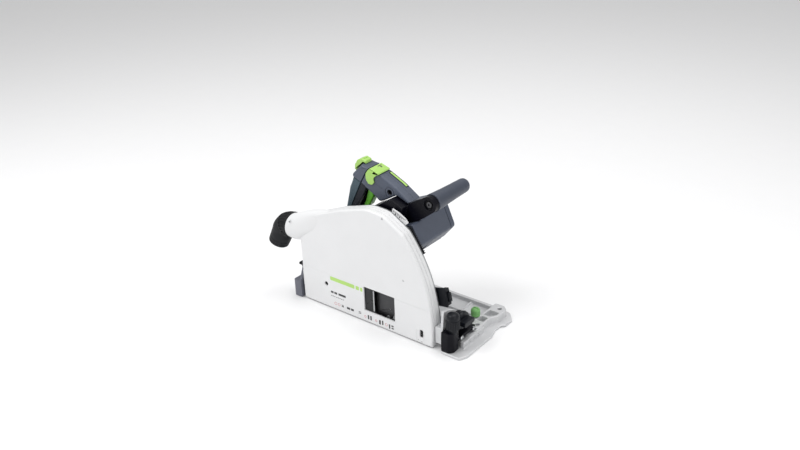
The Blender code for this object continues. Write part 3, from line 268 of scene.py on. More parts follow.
GREY_INK = surface("grey_print", (0.30, 0.30, 0.31), 0.5, vary=0.1, wear=0.0, grain=2000.0)
RED_INK = surface("red_print", (0.55, 0.20, 0.22), 0.5, vary=0.1, wear=0.0, grain=2000.0)
GREEN_INK = surface("green_print", (0.42, 0.66, 0.16), 0.45, vary=0.05, wear=0.0, grain=2000.0)
# The saw blade's steel is given a near-black colour: painted shade of the dark inside of the guard, where the
# blade sits.
BLADE_IN_SHADE = turned_steel("blade_steel_painted_shade", (0.07, 0.07, 0.073), (SPINDLE_X, SPINDLE_Z), 0.42)
SPUN = turned_steel("turned_steel", (0.55, 0.56, 0.57), (SPINDLE_X, SPINDLE_Z), 0.24, 1500.0)
SMOKE = smoked("smoked_window")


# ---------------------------------------------------------------- outlines

def polar(cx, cz, radius, angle):
    return (cx + radius * cos(radians(angle)), cz + radius * sin(radians(angle)))


def arc(cx, cz, radius, start, end, steps):
    return [polar(cx, cz, radius, start + (end - start) * i / steps) for i in range(steps + 1)]


def box_point(forward, upward):
    """Point of the motor box, measured from the armature square to the box's front face."""
    c = cos(FACE_LEAN)
    s = sin(FACE_LEAN)
    return (MOTOR_X + forward * c - upward * s, MOTOR_Z + forward * s + upward * c)


def rounded(points, radius, steps=5):
    """Rounds an outline's corners. A point may carry its own radius as a third number."""
    out = []
    count = len(points)
    for i, point in enumerate(points):
        size = point[2] if len(point) > 2 else radius
        here = Vector(point[:2])
        back = Vector(points[i - 1][:2]) - here
        ahead = Vector(points[(i + 1) % count][:2]) - here
        turn = back.angle(ahead)
        if size <= 0 or turn > pi - 0.05:
            out.append(tuple(here))
            continue
        reach = min(size / abs(sin(turn / 2) / cos(turn / 2)), 0.45 * back.length, 0.45 * ahead.length)
        first = here + back.normalized() * reach
        last = here + ahead.normalized() * reach
        for k in range(steps + 1):
            t = k / steps
            out.append(tuple(first * (1 - t) ** 2 + here * 2 * t * (1 - t) + last * t ** 2))
    return out


def rectangle(x0, x1, z0, z1, radius=0.0, steps=4):
    return rounded([(x0, z0), (x1, z0), (x1, z1), (x0, z1)], radius, steps)


def anticlockwise(outline):
    area = sum(a[0] * b[1] - b[0] * a[1] for a, b in zip(outline, outline[1:] + outline[:1]))
    return outline if area > 0 else outline[::-1]


def inward(outline):
    """Unit step at each point that moves an anticlockwise outline inwards by one."""
    steps = []
    count = len(outline)
    for i in range(count):
        here = Vector(outline[i][:2])
        back = here - Vector(outline[i - 1][:2])
        ahead = Vector(outline[(i + 1) % count][:2]) - here
        if back.length < 1e-6 or ahead.length < 1e-6:
            steps.append(steps[-1] if steps else Vector((0, 0)))
            continue
        a = Vector((-back.y, back.x)).normalized()
        b = Vector((-ahead.y, ahead.x)).normalized()
        both = a + b
        if both.length < 1e-6:
            steps.append(a)
            continue
        both.normalize()
        steps.append(both / max(0.45, both.dot(a)))
    return steps


def guard_outline(inset=0.0):
    """Side view of the guard: arched front about the plunge axis, low crown and an upright rear."""
    radius = GUARD_R - inset
    low = 1.5 + inset
    front = arc(PIVOT_X, PIVOT_Z, radius, -degrees(asin((PIVOT_Z - low) / radius)), 39.0, 56)
    crown = [(205 - 0.4 * inset, 232 - inset, 40), (168, 234 - inset, 60), (108, 216 - inset, 60),
             (48 + 0.3 * inset, 192 - inset, 30), (1 + inset, 170 - inset, 16)]
    return rounded([(1 + inset, low, 0)] + [(x, z, 0) for x, z in front] + crown, 0, 10)


# ---------------------------------------------------------------- shapes as (vertices, faces)

def on_plane(plane, u, v, t):
    return {"XZ": (u, t, v), "YZ": (t, u, v), "XY": (u, v, t)}[plane]


def on_axis(axis, u, v, height):
    return {"X": (height, u, v), "Y": (u, height, v), "Z": (u, v, height)}[axis]


def fillet(radius, steps=4):
    """(inset, depth) pairs of a quarter round, from its flat end to its full size."""
    return [(radius * (1 - sin(pi / 2 * k / steps)), radius * (1 - cos(pi / 2 * k / steps)))
            for k in range(steps + 1)]


def levels_between(start, end, near, far, steps=4):
    """(inset, height) levels of a solid with rounded rims at both ends."""
    low = [(inset, start + depth) for inset, depth in fillet(near, steps)]
    high = [(inset, end - depth) for inset, depth in reversed(fillet(far, steps))]
    return low + high


def stack(outline, plane, levels, weights=None):
    """Solid made of inset copies of one outline. Weights hold parts of the outline back from the inset."""
    outline = [tuple(p[:2]) for p in outline]
    ordered = anticlockwise(outline)
    if weights is not None and ordered is not outline:
        weights = weights[::-1]
    moves = inward(ordered)
    verts = []
    for inset, height in levels:
        for i, (u, v) in enumerate(ordered):
            share = inset * (weights[i] if weights else 1.0)
            verts.append(on_plane(plane, u + moves[i].x * share, v + moves[i].y * share, height))
    size = len(ordered)
    faces = [tuple(range(size)), tuple(range(len(verts) - size, len(verts)))[::-1]]
    for level in range(len(levels) - 1):
        for k in range(size):
            n = (k + 1) % size
            faces.append((level * size + k, level * size + n, (level + 1) * size + n, (level + 1) * size + k))
    return verts, faces


def pill(outline, plane, start, end, near=1.0, far=1.0, weights=None):
    return stack(outline, plane, levels_between(start, end, near, far), weights)


def prism(outline, plane, start, end):
    return stack(outline, plane, [(0, start), (0, end)])


def block(x0, x1, y0, y1, z0, z1):
    return prism([(x0, y0), (x1, y0), (x1, y1), (x0, y1)], "XY", z0, z1)


def turned(profile, axis, centre, sides=48):
    """Closed (radius, height) profile turned about a line along X, Y or Z through a centre."""
    verts = []
    faces = []
    rings = []
    for radius, height in profile:
        ring = []
        for i in range(1 if radius < 1e-6 else sides):
            u = radius * cos(2 * pi * i / sides)
            v = radius * sin(2 * pi * i / sides)
            ring.append(len(verts))
            verts.append(tuple(c + o for c, o in zip(centre, on_axis(axis, u, v, height))))
        rings.append(ring)
    closed = profile[0][0] > 1e-6
    for i in range(len(rings) if closed else len(rings) - 1):
        low = rings[i]
        high = rings[(i + 1) % len(rings)]
        for k in range(sides):
            n = (k + 1) % sides
            if len(low) == 1 and len(high) > 1:
                faces.append((low[0], high[n], high[k]))
            elif len(high) == 1 and len(low) > 1:
                faces.append((low[k], low[n], high[0]))
            elif len(low) > 1:
                faces.append((low[k], low[n], high[n], high[k]))
    return verts, faces


def disc(axis, centre, radius, low, high, sides=32):
    return turned([(0, low), (radius, low), (radius, high), (0, high)], axis, centre, sides)


def loft(rings):
    """Skin through rings of equal point counts, capped at both ends."""
    verts = [point for ring in rings for point in ring]
    size = len(rings[0])
    faces = [tuple(range(size)), tuple(range(len(verts) - size, len(verts)))[::-1]]
    for i in range(len(rings) - 1):
        for k in range(size):
            n = (k + 1) % size
            faces.append((i * size + k, i * size + n, (i + 1) * size + n, (i + 1) * size + k))
    return verts, faces


def joined(*shapes):
    """Several separate shapes as one."""
    verts = []
    faces = []
    for points, polygons in shapes:
        first = len(verts)
        verts += points
        faces += [tuple(i + first for i in polygon) for polygon in polygons]
    return verts, faces


# ---------------------------------------------------------------- pieces

def raw(name, shape):
    verts, faces = shape
    mesh = bpy.data.meshes.new(name)
    mesh.from_pydata([tuple(ORIGIN + Vector(v) * MM) for v in verts], [], faces)
    work = bmesh.new()
    work.from_mesh(mesh)
    bmesh.ops.recalc_face_normals(work, faces=work.faces)
    work.to_mesh(mesh)
    work.free()
    made = bpy.data.objects.new(name, mesh)
    bpy.context.scene.collection.objects.link(made)
    return made


def settle(piece):
    """Applies a piece's modifiers to its mesh."""
    bpy.context.view_layer.update()
    done = bpy.data.meshes.new_from_object(piece.evaluated_get(bpy.context.evaluated_depsgraph_get()))
    piece.modifiers.clear()
    old = piece.data
    piece.data = done
    bpy.data.meshes.remove(old)
    return piece


def carve(piece, *shapes, operation="DIFFERENCE"):
    """Cuts shapes from a piece, or joins them on."""
    for shape in shapes:
        tool = raw("tool", shape)
        change = piece.modifiers.new("change", "BOOLEAN")
        change.operation = operation
        change.solver = "EXACT"
        change.object = tool
        settle(piece)
        bpy.data.objects.remove(tool)
    return piece


def finish_piece(piece, material, body, replaces=(), angle=32):
    piece.data.materials.clear()
    piece.data.materials.append(material)
    piece.data.shade_smooth()
    piece.data.set_sharp_from_angle(angle=radians(angle))
    weighted = piece.modifiers.new("normals", "WEIGHTED_NORMAL")
    weighted.keep_sharp = True
    weighted.weight = 80
    settle(piece)
    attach(piece, body)
    if replaces:
        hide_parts(*replaces)
    return piece


def piece(name, shape, material, body, slot, replaces=(), cuts=(), angle=32):
    made = raw(name, shape)
    carve(made, *cuts)
    return finish_piece(made, material, body, replaces, angle)


def soft_copy(name, material, voxel, rounds=3, keep=0.3, cuts=(), adds=()):
    """Copy of a CAD node with rounded edges and corners, like a casting or a moulding."""
    source = NODES[name]
    made = bpy.data.objects.new(name + "_skin", source.data.copy())
    bpy.context.scene.collection.objects.link(made)
    work = bmesh.new()
    work.from_mesh(made.data)
    bmesh.ops.remove_doubles(work, verts=work.verts, dist=1e-6)
    work.to_mesh(made.data)
    work.free()
    carve(made, *cuts)
    carve(made, *adds, operation="UNION")
    remesh = made.modifiers.new("remesh", "REMESH")
    remesh.mode = "VOXEL"
    remesh.voxel_size = voxel * MM
    smooth = made.modifiers.new("smooth", "SMOOTH")
    smooth.factor = 0.5
    smooth.iterations = rounds
    fewer = made.modifiers.new("fewer", "DECIMATE")
    fewer.ratio = keep
    settle(made)
    made.data.materials.clear()
    made.data.materials.append(material)
    made.data.shade_smooth()
    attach(made, source["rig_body"])
    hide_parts(name)
    return made


def dress(material, *names):
    """Gives CAD nodes that keep their shape a finished material."""
    for name in names:
        NODES[name].material_slots[0].material = material


# ---------------------------------------------------------------- bevel head: guard and its fittings

def port_ring(share, inset=0.0, count=56):
    """One section of the dust duct: an upright oval inside the guard, a circle at its outer end."""
    blend = share * share * (3 - 2 * share)
    x = PORT_END_X + (PORT_ROOT_X - PORT_END_X) * share
    z = PORT_Z + (PORT_ROOT_Z - PORT_Z) * blend
    lean = -radians(38.0) * blend
    half_deep = PORT_R + (12.4 - PORT_R) * share - inset
    half_tall = PORT_R + (46.0 - PORT_R) * share - inset
    power = 1 - 0.25 * share
    ring = []
    for i in range(count):
        c = cos(2 * pi * i / count)
        s = sin(2 * pi * i / count)
        deep = half_deep * abs(c) ** power * (1 if c > 0 else -1)
        tall = half_tall * abs(s) ** power * (1 if s > 0 else -1)
        ring.append((x - tall * sin(lean), PORT_Y + deep, z + tall * cos(lean)))
    return ring


def port_skin(inset=0.0, start=0.0, end=1.0, steps=14):
    return loft([port_ring(start + (end - start) * i / steps, inset) for i in range(steps + 1)])


def blade_guard():
    """White shell with two grooves round its rim, the sight window and faint creases in its face."""
    levels = [(inset, depth) for inset, depth in fillet(3.6, 5)]
    for groove in (8.0, 16.0):
        levels += [(0, groove - 0.9), (1.0, groove - 0.5), (1.0, groove + 0.5), (0, groove + 0.9)]
    levels += [(0, 23.4), (0.6, 24.0)]
    hollow = [(x, z if z > 9.5 else z - 10) for x, z in guard_outline(2.5)]
    window = pill(rectangle(155, 227, 26, 76, 1.2), "XZ", -5, 8, 0, 0)
    slot = prism(rectangle(282, 290, 15, 31, 3.9), "XZ", -5, 8)
    crease = prism([(227.5, 74.0), (330, 74.0), (330, 74.8), (227.5, 74.8)], "XZ", -2, 0.35)
    crease_left = prism([(-3, 74.1), (154.5, 74.1), (154.5, 74.7), (-3, 74.7)], "XZ", -2, 0.22)
    frame_line = prism([(274.6, -1), (275.2, -1), (275.2, 27.6), (291.2, 27.6), (291.2, -1), (291.8, -1),
                        (291.8, 28.2), (274.6, 28.2)], "XZ", -2, 0.4)
    piece("guard_shell", stack(guard_outline(), "XZ", levels), WHITE, "head", "white_plastic", ["blade_guard"],
          [prism(hollow, "XZ", 2.5, 29), window, disc("Y", (62, 0, 52), 4.5, -5, 8), slot, crease, crease_left,
           frame_line, port_skin(-0.3)])


def dust_port():
    """Duct from the guard to the hose, rounded at its mouth and open right through."""
    lip = 1.4
    mouth = [port_ring(0.0, lip)]
    for k in range(1, 5):
        mouth.append([(x + k / 4, y, z) for x, y, z in port_ring(0.0, lip * (1 - k / 4) ** 2)])
    made = raw("dust_duct", loft(mouth + [port_ring(0.02 + 0.98 * i / 16) for i in range(17)]))
    carve(made, port_skin(2.4, -0.05, 1.05))
    for x, z, deep in ((-14.5, 163.9, -9.0), (7.4, 130.0, -9.4)):
        carve(made, disc("Y", (x, 0, z), 2.3, deep - 6, deep + 6))
    finish_piece(made, WHITE, "head", ["dust_port"])


def small_screw(name, x, y, z, radius, body):
    """Domed screw head with a cross recess, its face towards -Y."""
    dome = [(0, y), (radius * 0.6, y + 0.12), (radius * 0.92, y + 0.5), (radius, y + 1.0), (radius, y + 1.6),
            (0, y + 1.6)]
    arms = [prism([(x - a, z - b), (x + a, z - b), (x + a, z + b), (x - a, z + b)], "XZ", y - 1, y + 0.7)
            for a, b in ((radius * 0.6, radius * 0.15), (radius * 0.15, radius * 0.6))]
    piece(name, turned(dome, "Y", (x, 0, z), 20), GREY, body, "grey_metal", (), arms)


def hose_ring(angle, along, radius, count=72, dip=0.0, ribs=24):
    """Section of the hose elbow at an angle round its bend, then at a distance straight on from there."""
    by = radians(angle)
    ahead = Vector((-cos(by), 0, -sin(by)))
    across = Vector((-sin(by), 0, cos(by)))
    middle = Vector((BEND_X, 0, -BEND_R)) + across * BEND_R + ahead * along
    ring = []
    for k in range(count):
        turn = 2 * pi * k / count
        size = radius - (dip if (k * ribs * 8 // count) % 8 > 2 else 0.0)
        spot = middle + across * size * sin(turn) + Vector((0, size * cos(turn), 0))
        ring.append((spot.x, PORT_Y + spot.y * cos(ELBOW_TILT) + spot.z * sin(ELBOW_TILT),
                     PORT_Z + spot.z * cos(ELBOW_TILT) - spot.y * sin(ELBOW_TILT)))
    return ring


def swivel_collar():
    """Collar that starts the bend: a smooth lip at each end and grip fins between them."""
    levels = [(0, -1.9, 24.6, 0), (0, -1.3, 25.3, 0), (0, -0.2, 25.3, 0), (1, 0, 25.0, 0), (2.5, 0, 24.9, 1.2),
              (12, 0, 24.6, 1.2), (22, 0, 24.3, 1.2), (30, 0, 24.0, 1.2), (31.5, 0, 24.0, 0), (35, 0, 23.7, 0),
              (38.2, 0, 23.4, 0), (39, 0, 22.8, 0)]
    outer = [hose_ring(angle, along, radius, 192, dip) for angle, along, radius, dip in levels]
    inner = [(0, -6, 21.6), (0, 0, 21.4), (13, 0, 21.1), (26, 0, 20.8), (39, 0, 20.5), (39, 6, 20.5)]
    piece("swivel_collar_finned", loft(outer), HOSE, "hose_elbow", "black_plastic", ["swivel_collar"],
          [loft([hose_ring(*ring) for ring in inner])])


def dust_elbow():
    """Lower part of the elbow: a stepped shoulder, a slow taper and a ribbed mouth."""
    levels = [(39, 0.3, 22.4), (40.2, 0.3, 23.0), (44, 0.25, 23.0), (48, 0.2, 22.9), (52, 0.15, 22.75),
              (57, 0.1, 22.6), (62, 0.05, 22.4), (66, 0, 22.3), (66, 1.5, 21.7), (66, 10, 21.3), (66, 18, 20.9),
              (66, 19, 20.3), (66, 20.5, 20.3), (66, 21.5, 20.8), (66, 23.5, 20.7), (66, 24.5, 20.1),
              (66, 26, 20.1), (66, 27, 20.5), (66, 30.5, 20.3), (66, 31.5, 20.0), (66, 32, 19.2)]
    inner = [(39, -3, 20.4), (39, 0.3, 20.4), (48, 0.2, 20.2), (57, 0.1, 19.9), (66, 0, 19.6), (66, 36, 17.4)]
    piece("elbow_tube", loft([hose_ring(*ring) for ring in levels]), HOSE, "hose_elbow", "black_plastic",
          ["dust_elbow"], [loft([hose_ring(*ring) for ring in inner])], 40)


def sight_panel():
    """Smoked panel that slides behind the window, with a ribbed grip strip along its front edge, coloured pale as
    a painted highlight on that edge.
    """
    outline = rectangle(150, 178, 22, 80, 1.5)
    piece("smoked_panel", pill(outline, "XZ", 2.8, 4.4, 0.3, 0.3), SMOKE, "sight_panel_body", "smoked_window",
          ["sight_panel"])
    strip = prism(rectangle(176.0, 177.7, 30, 72, 0.6), "XZ", 1.5, 2.75)
    grips = [block(175.5, 178.2, 1.2, 1.9, 34 + 3 * k, 35.2 + 3 * k) for k in range(12)]
    piece("panel_grip", strip, PALE, "sight_panel_body", "white_plastic", (), grips)


def depth_scale_marks():
    """Generic scale: even ticks with every fifth one longer, and two slanting marks under them."""
    half = 0.4
    shapes = []
    for i in range(15):
        x = 209.5 + 26.0 * i / 14
        z = 234.2 - 11.6 * i / 14
        long = 5.2 if i % 5 == 0 else 3.0
        shapes.append([(x - half, z - long), (x + half, z - long + 0.2), (x + half, z + 0.2), (x - half, z)])
    for x, z in ((213.5, 226.5), (222.5, 222.6)):
        shapes.append([(x, z), (x + 2.2, z - 1), (x + 2.2, z + 1.6), (x, z + 2.6)])
    ticks = [prism(outline, "XZ", SCALE_FACE, SCALE_FACE + 0.28) for outline in shapes]
    piece("scale_ticks", joined(*ticks), INK, "head", "black_plastic")


def depth_rack():
    """Toothed arc: its upper teeth stand past the guard's rim and the lower ones stay behind it."""
    teeth = []
    for i in range(30):
        angle = 18 + 0.75 * i
        radius = 281.0 if angle > 29 else 273.5
        teeth += [polar(PIVOT_X, PIVOT_Z, radius + lift, angle + step)
                  for lift, step in ((0, 0), (2.2, 0.15), (2.2, 0.4), (0, 0.55))]
    outline = teeth + arc(PIVOT_X, PIVOT_Z, 262, 40.2, 18, 30)
    piece("rack_teeth", prism(outline, "XZ", 27.3, 29.6), BLACK, "head", "black_plastic", ["depth_rack"])


def face_print():
    """Generic print on the guard's face: a green bar, rows of dashes and small plain symbols."""
    def flat(x0, x1, z0, z1, radius=0.5):
        return pill(rectangle(x0, x1, z0, z1, radius, 2), "XZ", -0.09, PRINT_DEPTH, 0.0, 0.0)

    bars = [flat(x0, x1, 63.5, 71.5, 1.5) for x0, x1 in ((73, 133), (136, 144), (147, 152))]
    piece("print_green_bar", joined(*bars), GREEN_INK, "head", "green_plastic")
    dashes = [flat(x0, x1, 35.8, 40.2) for x0, x1 in ((72.5, 79), (81, 88), (91.5, 109.5))]
    rows = [flat(72 + 4.2 * i, 75 + 4.2 * i, 29.0, 30.2, 0.2) for i in range(8)]
    piece("print_dashes", joined(*dashes, *rows), INK, "head", "black_plastic")
    rings = []
    for x, z, size in ((83, 15.2, 6.5), (91.5, 15.2, 6.0), (156, 12.5, 5), (182, 12.5, 5), (206, 12.5, 6)):
        outer = size / 2
        inner = outer - 0.8
        profile = [(outer, -0.08), (outer, PRINT_DEPTH), (inner, PRINT_DEPTH), (inner, -0.08)]
        rings.append(turned(profile, "Y", (x, 0, z), 24))
    piece("print_ring_symbols", joined(*rings), RED_INK, "head", "black_plastic")
    blocks = [flat(x, x + w, z, z + h, 0.4) for x, w, z, h in
              ((98, 5, 13, 2.6), (98, 5, 16.4, 1.2), (111, 8.0, 13.0, 4.6), (121, 7, 13.0, 4.6),
               (140, 6, 14, 1.4), (140, 6, 17, 1.4), (162, 3.4, 9, 9), (168, 3.4, 9, 9), (189, 4, 8, 9),
               (196, 3, 9, 9), (212, 3, 7, 9), (218, 5, 8, 3), (218, 5, 13, 3))]
    piece("print_block_symbols", joined(*blocks), INK, "head", "black_plastic")
    mark = [(203.9, 224.6), (208.9, 224.6), (206.4, 229.2)]
    inner = [(205.4, 225.5), (207.4, 225.5), (206.4, 227.4)]
    piece("print_triangle", prism(mark, "XZ", -0.06, PRINT_DEPTH), GREY_INK, "head", "grey_metal", (),
          [prism(inner, "XZ", -1, 1)])
    lines = ((246, 251, 117, 117.8), (247, 250, 119, 119.8), (278, 280, 8, 9.4), (285, 288, 6, 7.2))
    piece("print_key_mark", joined(*[flat(*line, 0.2) for line in lines]), GREY_INK, "head", "grey_metal")


# ---------------------------------------------------------------- plunge unit

def box_outline(inset=0.0):
    """Square-shouldered section of the motor box."""
    corners = [(57, -29), (57, 13.7), (45, 32), (20, 38), (-28, 38), (-47, 26), (-47, -30), (-26, -46), (22, -46)]
    sized = []
    for forward, upward in corners:
        shrink = 1 - 1.12 * inset / hypot(forward, upward)
        sized.append(box_point(forward * shrink, upward * shrink))
    return rounded(sized, 9, 7)


def motor_housing():
    """Hollow shell with the square nose in front; its far rim steps in to leave a dark seam at the cap."""
    levels = [(inset, 68.3 + depth) for inset, depth in fillet(2.2)]
    levels += [(0, MOTOR_SEAM - 2), (1.6, MOTOR_SEAM - 1.5), (1.6, MOTOR_SEAM)]
    shell = raw("motor_shell", stack(box_outline(), "XZ", levels))
    corners = [(34, -38.5, 0), (50, -33, 5), (57, -27, 5), (57, 13.7, 4), (34, 13.7, 0)]
    nose = rounded([(*box_point(a, b), r) for a, b, r in corners], 0, 5)
    carve(shell, pill(nose, "XZ", 33.0, 70.5, 1.6, 0.0), operation="UNION")
    hollow = [box_point(a, b) for a, b in ((41.5, -30), (54, -25), (54, 10.5), (41.5, 10.5))]
    carve(shell, prism(box_outline(3), "XZ", 71.3, 133), disc("Y", (MOTOR_X, 0, MOTOR_Z), 33.5, 65.3, 73.3, 64),
          prism(hollow, "XZ", 36, 78.3))
    finish_piece(shell, SLATE, "plunge_unit", ["motor_housing"])


def motor_end_cap():
    """Cap with five cooling slots in its flat end."""
    cuts = [prism(box_outline(4), "XZ", MOTOR_SEAM - 2.7, MOTOR_SEAM + 5)]
    for k in range(5):
        low = -24 + 9 * k
        corners = [box_point(a, b) for a, b in ((-36, low), (-18, low), (-18, low + 4.5), (-36, low + 4.5))]
        cuts.append(prism(rounded(corners, 2, 3), "XZ", 134, 145))
    piece("motor_cap", pill(box_outline(0.6), "XZ", MOTOR_SEAM + 0.3, 142.0, 0.6, 5.0), SLATE, "plunge_unit",
          "slate_plastic", ["motor_end_cap"], cuts)


def handle_outline():
    return rounded([(228.4, 243.6, 0), (198, 263.5, 14), (165, 279.2, 14), (139.4, 286.8, 0), (131.7, 277.4, 0),
                    (118.9, 255.4, 0), (129.5, 247.4, 0), (150, 236, 8), (160, 228, 6), (169, 231.8, 7),
                    (199, 249.6, 8), (223.8, 239.2, 0)], 0, 5)


def seam_weights(outline, seam, reach=4.0, least=0.0):
    """One away from a seam and least on it, so that a rim is well rounded everywhere but there."""
    weights = []
    for point in outline:
        near = 1e9
        for a, b in zip(seam, seam[1:]):
            ab = Vector(b) - Vector(a)
            t = min(max((Vector(point) - Vector(a)).dot(ab) / ab.length_squared, 0), 1)
            near = min(near, (Vector(point) - Vector(a) - ab * t).length)
        weights.append(min(max((near - 0.8) / reach, least), 1.0))
    return weights


def handle_halves():
    """Two shells of the handle's arm, hollow where the trigger and its switch sit, and the boss's socket, lined
    in black as painted shade.
    """
    outline = anticlockwise(handle_outline())
    weights = seam_weights(outline, [(131.7, 277.4), (118.9, 255.4)], 5.0, 0.3)
    chamber = prism([(150, 252), (172, 244), (182, 262), (152, 274)], "XZ", 54, 78)
    slot = prism([(120, 262), (146, 262), (152, 240), (140, 225), (110, 235)], "XZ", 57.4, 74.6)
    groove = turned([(r, HANDLE_NEAR + depth) for r, depth in ((8.9, -1), (10.2, -1), (10.2, 0.9), (8.9, 0.9))],
                    "Y", ARM_BOSS, 48)
    hole = disc("Y", ARM_BOSS, 5.6, HANDLE_NEAR - 2, HANDLE_NEAR + 7, 40)
    line = prism([(150, 262.5), (206, 237.0), (206, 237.7), (150, 263.2)], "XZ", HANDLE_NEAR - 1,
                 HANDLE_NEAR + 0.35)
    for name, start, end, near, far, marks in (
            ("handle_near", HANDLE_NEAR, HANDLE_MID - 0.15, 3.4, 0.3, [hole, groove, line]),
            ("handle_far", HANDLE_MID + 0.15, HANDLE_FAR, 0.3, 3.4, [])):
        made = raw(name + "_shell", pill(outline, "XZ", start, end, near, far, weights))
        carve(made, chamber, slot, *marks)
        finish_piece(made, SLATE, "plunge_unit", [name + "_half"])
    # Black cup lining the boss's hole: painted shade in the deep recess, with its floor standing for a recessed
    # screw head.
    socket = [(0, 6.4), (3.6, 6.4), (4.2, 2.4), (5.5, 1.4), (5.5, 6.9), (0, 6.9)]
    piece("arm_socket_shade_lining", turned([(r, HANDLE_NEAR + depth) for r, depth in socket], "Y", ARM_BOSS, 32), BLACK,
          "plunge_unit", "black_plastic")


def arm_stripe():
    """Green inlay with a black border along the top of the handle's arm."""
    ridge = [(166.5, 278.6), (176, 274.2), (197, 264.1), (205.0, 258.9)]
    steps = 12

    def strip(name, lift, start, end, shrink, material, slot):
        rings = []
        for i in range(steps + 1):
            t = (i / steps) * (len(ridge) - 1)
            k = min(int(t), len(ridge) - 2)
            a = Vector(ridge[k])
            b = Vector(ridge[k + 1])
            along = (b - a).normalized()
            here = a + (b - a) * (t - k) + along * shrink * {0: 1, steps: -1}.get(i, 0)
            up = Vector((-along.y, along.x))
            top = here + up * lift
            bottom = here - up * 1.2
            rings.append([(bottom.x, start, bottom.y), (top.x, start, top.y), (top.x, end, top.y),
                          (bottom.x, end, bottom.y)])
        piece(name, loft(rings), material, "plunge_unit", slot)

    strip("arm_stripe_border", 0.35, 71.4, 79.0, 0.0, BLACK, "black_plastic")
    strip("arm_stripe", 0.6, 73.0, 77.2, 1.6, PALE_GREEN, "green_plastic")


def head_cap():
    """Rounded cap that joins the arm to the grip."""
    outline = anticlockwise(rounded([(121, 291, 4), (139, 287.2, 2), (131, 277.9, 0), (118.2, 256.2, 0),
                                     (101, 262.6, 2), (97, 267, 3)], 0, 5))
    weights = seam_weights(outline, [(139, 287.2), (131, 277.9), (118.2, 256.2), (101, 262.6)], 5.0, 0.16)
    levels = levels_between(HANDLE_NEAR - 0.6, HANDLE_FAR + 0.6, 6.5, 6.5, 6)
    piece("head_cap", stack(outline, "XZ", levels, weights), SLATE, "plunge_unit", "slate_plastic",
          ["handle_head_cap"])


def grip():
    """Rubber band down the back of the grip, the soft inner side and the inlet for the supply lead."""
    outer = [(100.8, 262.0, 1), (87.5, 241, 12), (76.5, 200, 20), (71, 168, 20), (76, 136, 8), (89.5, 140, 0)]
    seam = [(89.5, 140), (85.2, 165), (87.2, 190.2), (95.9, 211.2), (117.8, 255.8)]
    outline = anticlockwise(rounded(outer + [(85.2, 165, 16), (87.2, 190.2, 10), (95.9, 211.2, 14),
                                             (117.8, 255.8, 0)], 0, 8))
    weights = seam_weights(outline, seam + [(100.8, 262.0)], 9.0, 0.1)
    levels = levels_between(HANDLE_NEAR, HANDLE_FAR, 10.0, 10.0, 8)
    piece("grip_back_band", stack(outline, "XZ", levels, weights), TEAL, "plunge_unit", "grip_rubber",
          ["grip_band"], (), 40)
    soft_copy("inner_grip", INNER, 0.6, 8, 0.3)
    soft_copy("power_inlet", BLACK, 0.4, 2, 0.35)


def controls():
    """Trigger, ridged plunge release and the spindle lock lever with a plain mark on its top."""
    outline = rounded([(128, 251, 2), (138, 255, 3), (142, 245, 3), (139, 228, 8), (129, 209, 6), (119, 203.5, 3),
                       (113.5, 206.5, 2), (119, 218, 6), (124, 234, 8)], 0, 8)
    piece("finger_trigger", pill(outline, "XZ", 58, 74, 3.0, 3.0), GREEN, "trigger_body", "green_plastic",
          ["trigger"])
    outline = rounded([(102, 273.2, 0), (120.3, 291.6, 0), (126.5, 290.4, 1), (125.5, 296, 3), (116, 299, 4),
                       (106, 294, 5), (99.5, 284, 4), (98.8, 275, 1)], 0, 6)
    ridges = []
    for k in range(4):
        x = 105 + 4.6 * k
        z = 291.4 + 1.7 * k
        ridges.append(prism([(x, z + 0.5), (x + 1.1, z + 0.5), (x + 1.1, z + 12), (x, z + 12)], "XZ", 60, 72))
    piece("release_button", pill(outline, "XZ", 57, 75, 1.8, 1.8), PALE_GREEN, "release_body", "green_plastic",
          ["plunge_release"], ridges)
    top = rounded([(142.5, 286.6, 0), (162, 280.9, 0), (163.5, 281.6, 0.8), (162, 283.6, 1),
                   (*LEVER_TOP, 1)], 0, 4)
    hook = rounded([(143, 288.6, 1), (161.8, 282.9, 1), (162.8, 281, 1), (156.5, 278, 4), (149.5, 271, 6),
                    (151.5, 263.5, 3), (146, 258, 4), (138, 258.5, 4), (132.5, 266, 8), (132.5, 277, 8),
                    (138.5, 285, 4)], 0, 7)
    made = raw("lock_lever", pill(top, "XZ", 47.2, 80, 0.7, 0.7))
    carve(made, pill(hook, "XZ", 47.2, 49.1, 0.7, 0.1), operation="UNION")
    finish_piece(made, PALE_GREEN, "lock_lever_body", ["spindle_lock_lever"])
    bars = []
    for x0, x1, y0, y1 in ((146.5, 148.2, 65, 75), (149.2, 153.0, 68.5, 71.5)):
        z0, z1 = (LEVER_TOP[1] - LEVER_SLOPE * (x - LEVER_TOP[0]) for x in (x0, x1))
        bars.append(prism([(x0, z0 - 1), (x1, z1 - 1), (x1, z1 + 0.08), (x0, z0 + 0.08)], "XZ", y0, y1))
    piece("lever_mark", joined(*bars), INK, "lock_lever_body", "black_plastic")


def front_handle():
    """Tapering round handle with a domed end, screwed to the gear case's lug."""
    end = 159.0
    profile = [(3.5, 60.0), (16.2, 60.0), (16.8, 60.8), (16.7, 62.5), (16.0, 74), (14.9, 96), (14.0, 122),
               (13.4, end - 11), (13.2, end - 7), (12.5, end - 4), (11.2, end - 2), (9.0, end - 0.8),
               (6.0, end - 0.25), (0.001, end), (0.001, 72), (3.5, 72)]
    x, _, z = middle_of("front_handle_screw")
    piece("front_grip", turned(profile, "Y", (x, 0, z), 72), HANDLE, "plunge_unit", "slate_plastic",
          ["front_handle"], (), 40)


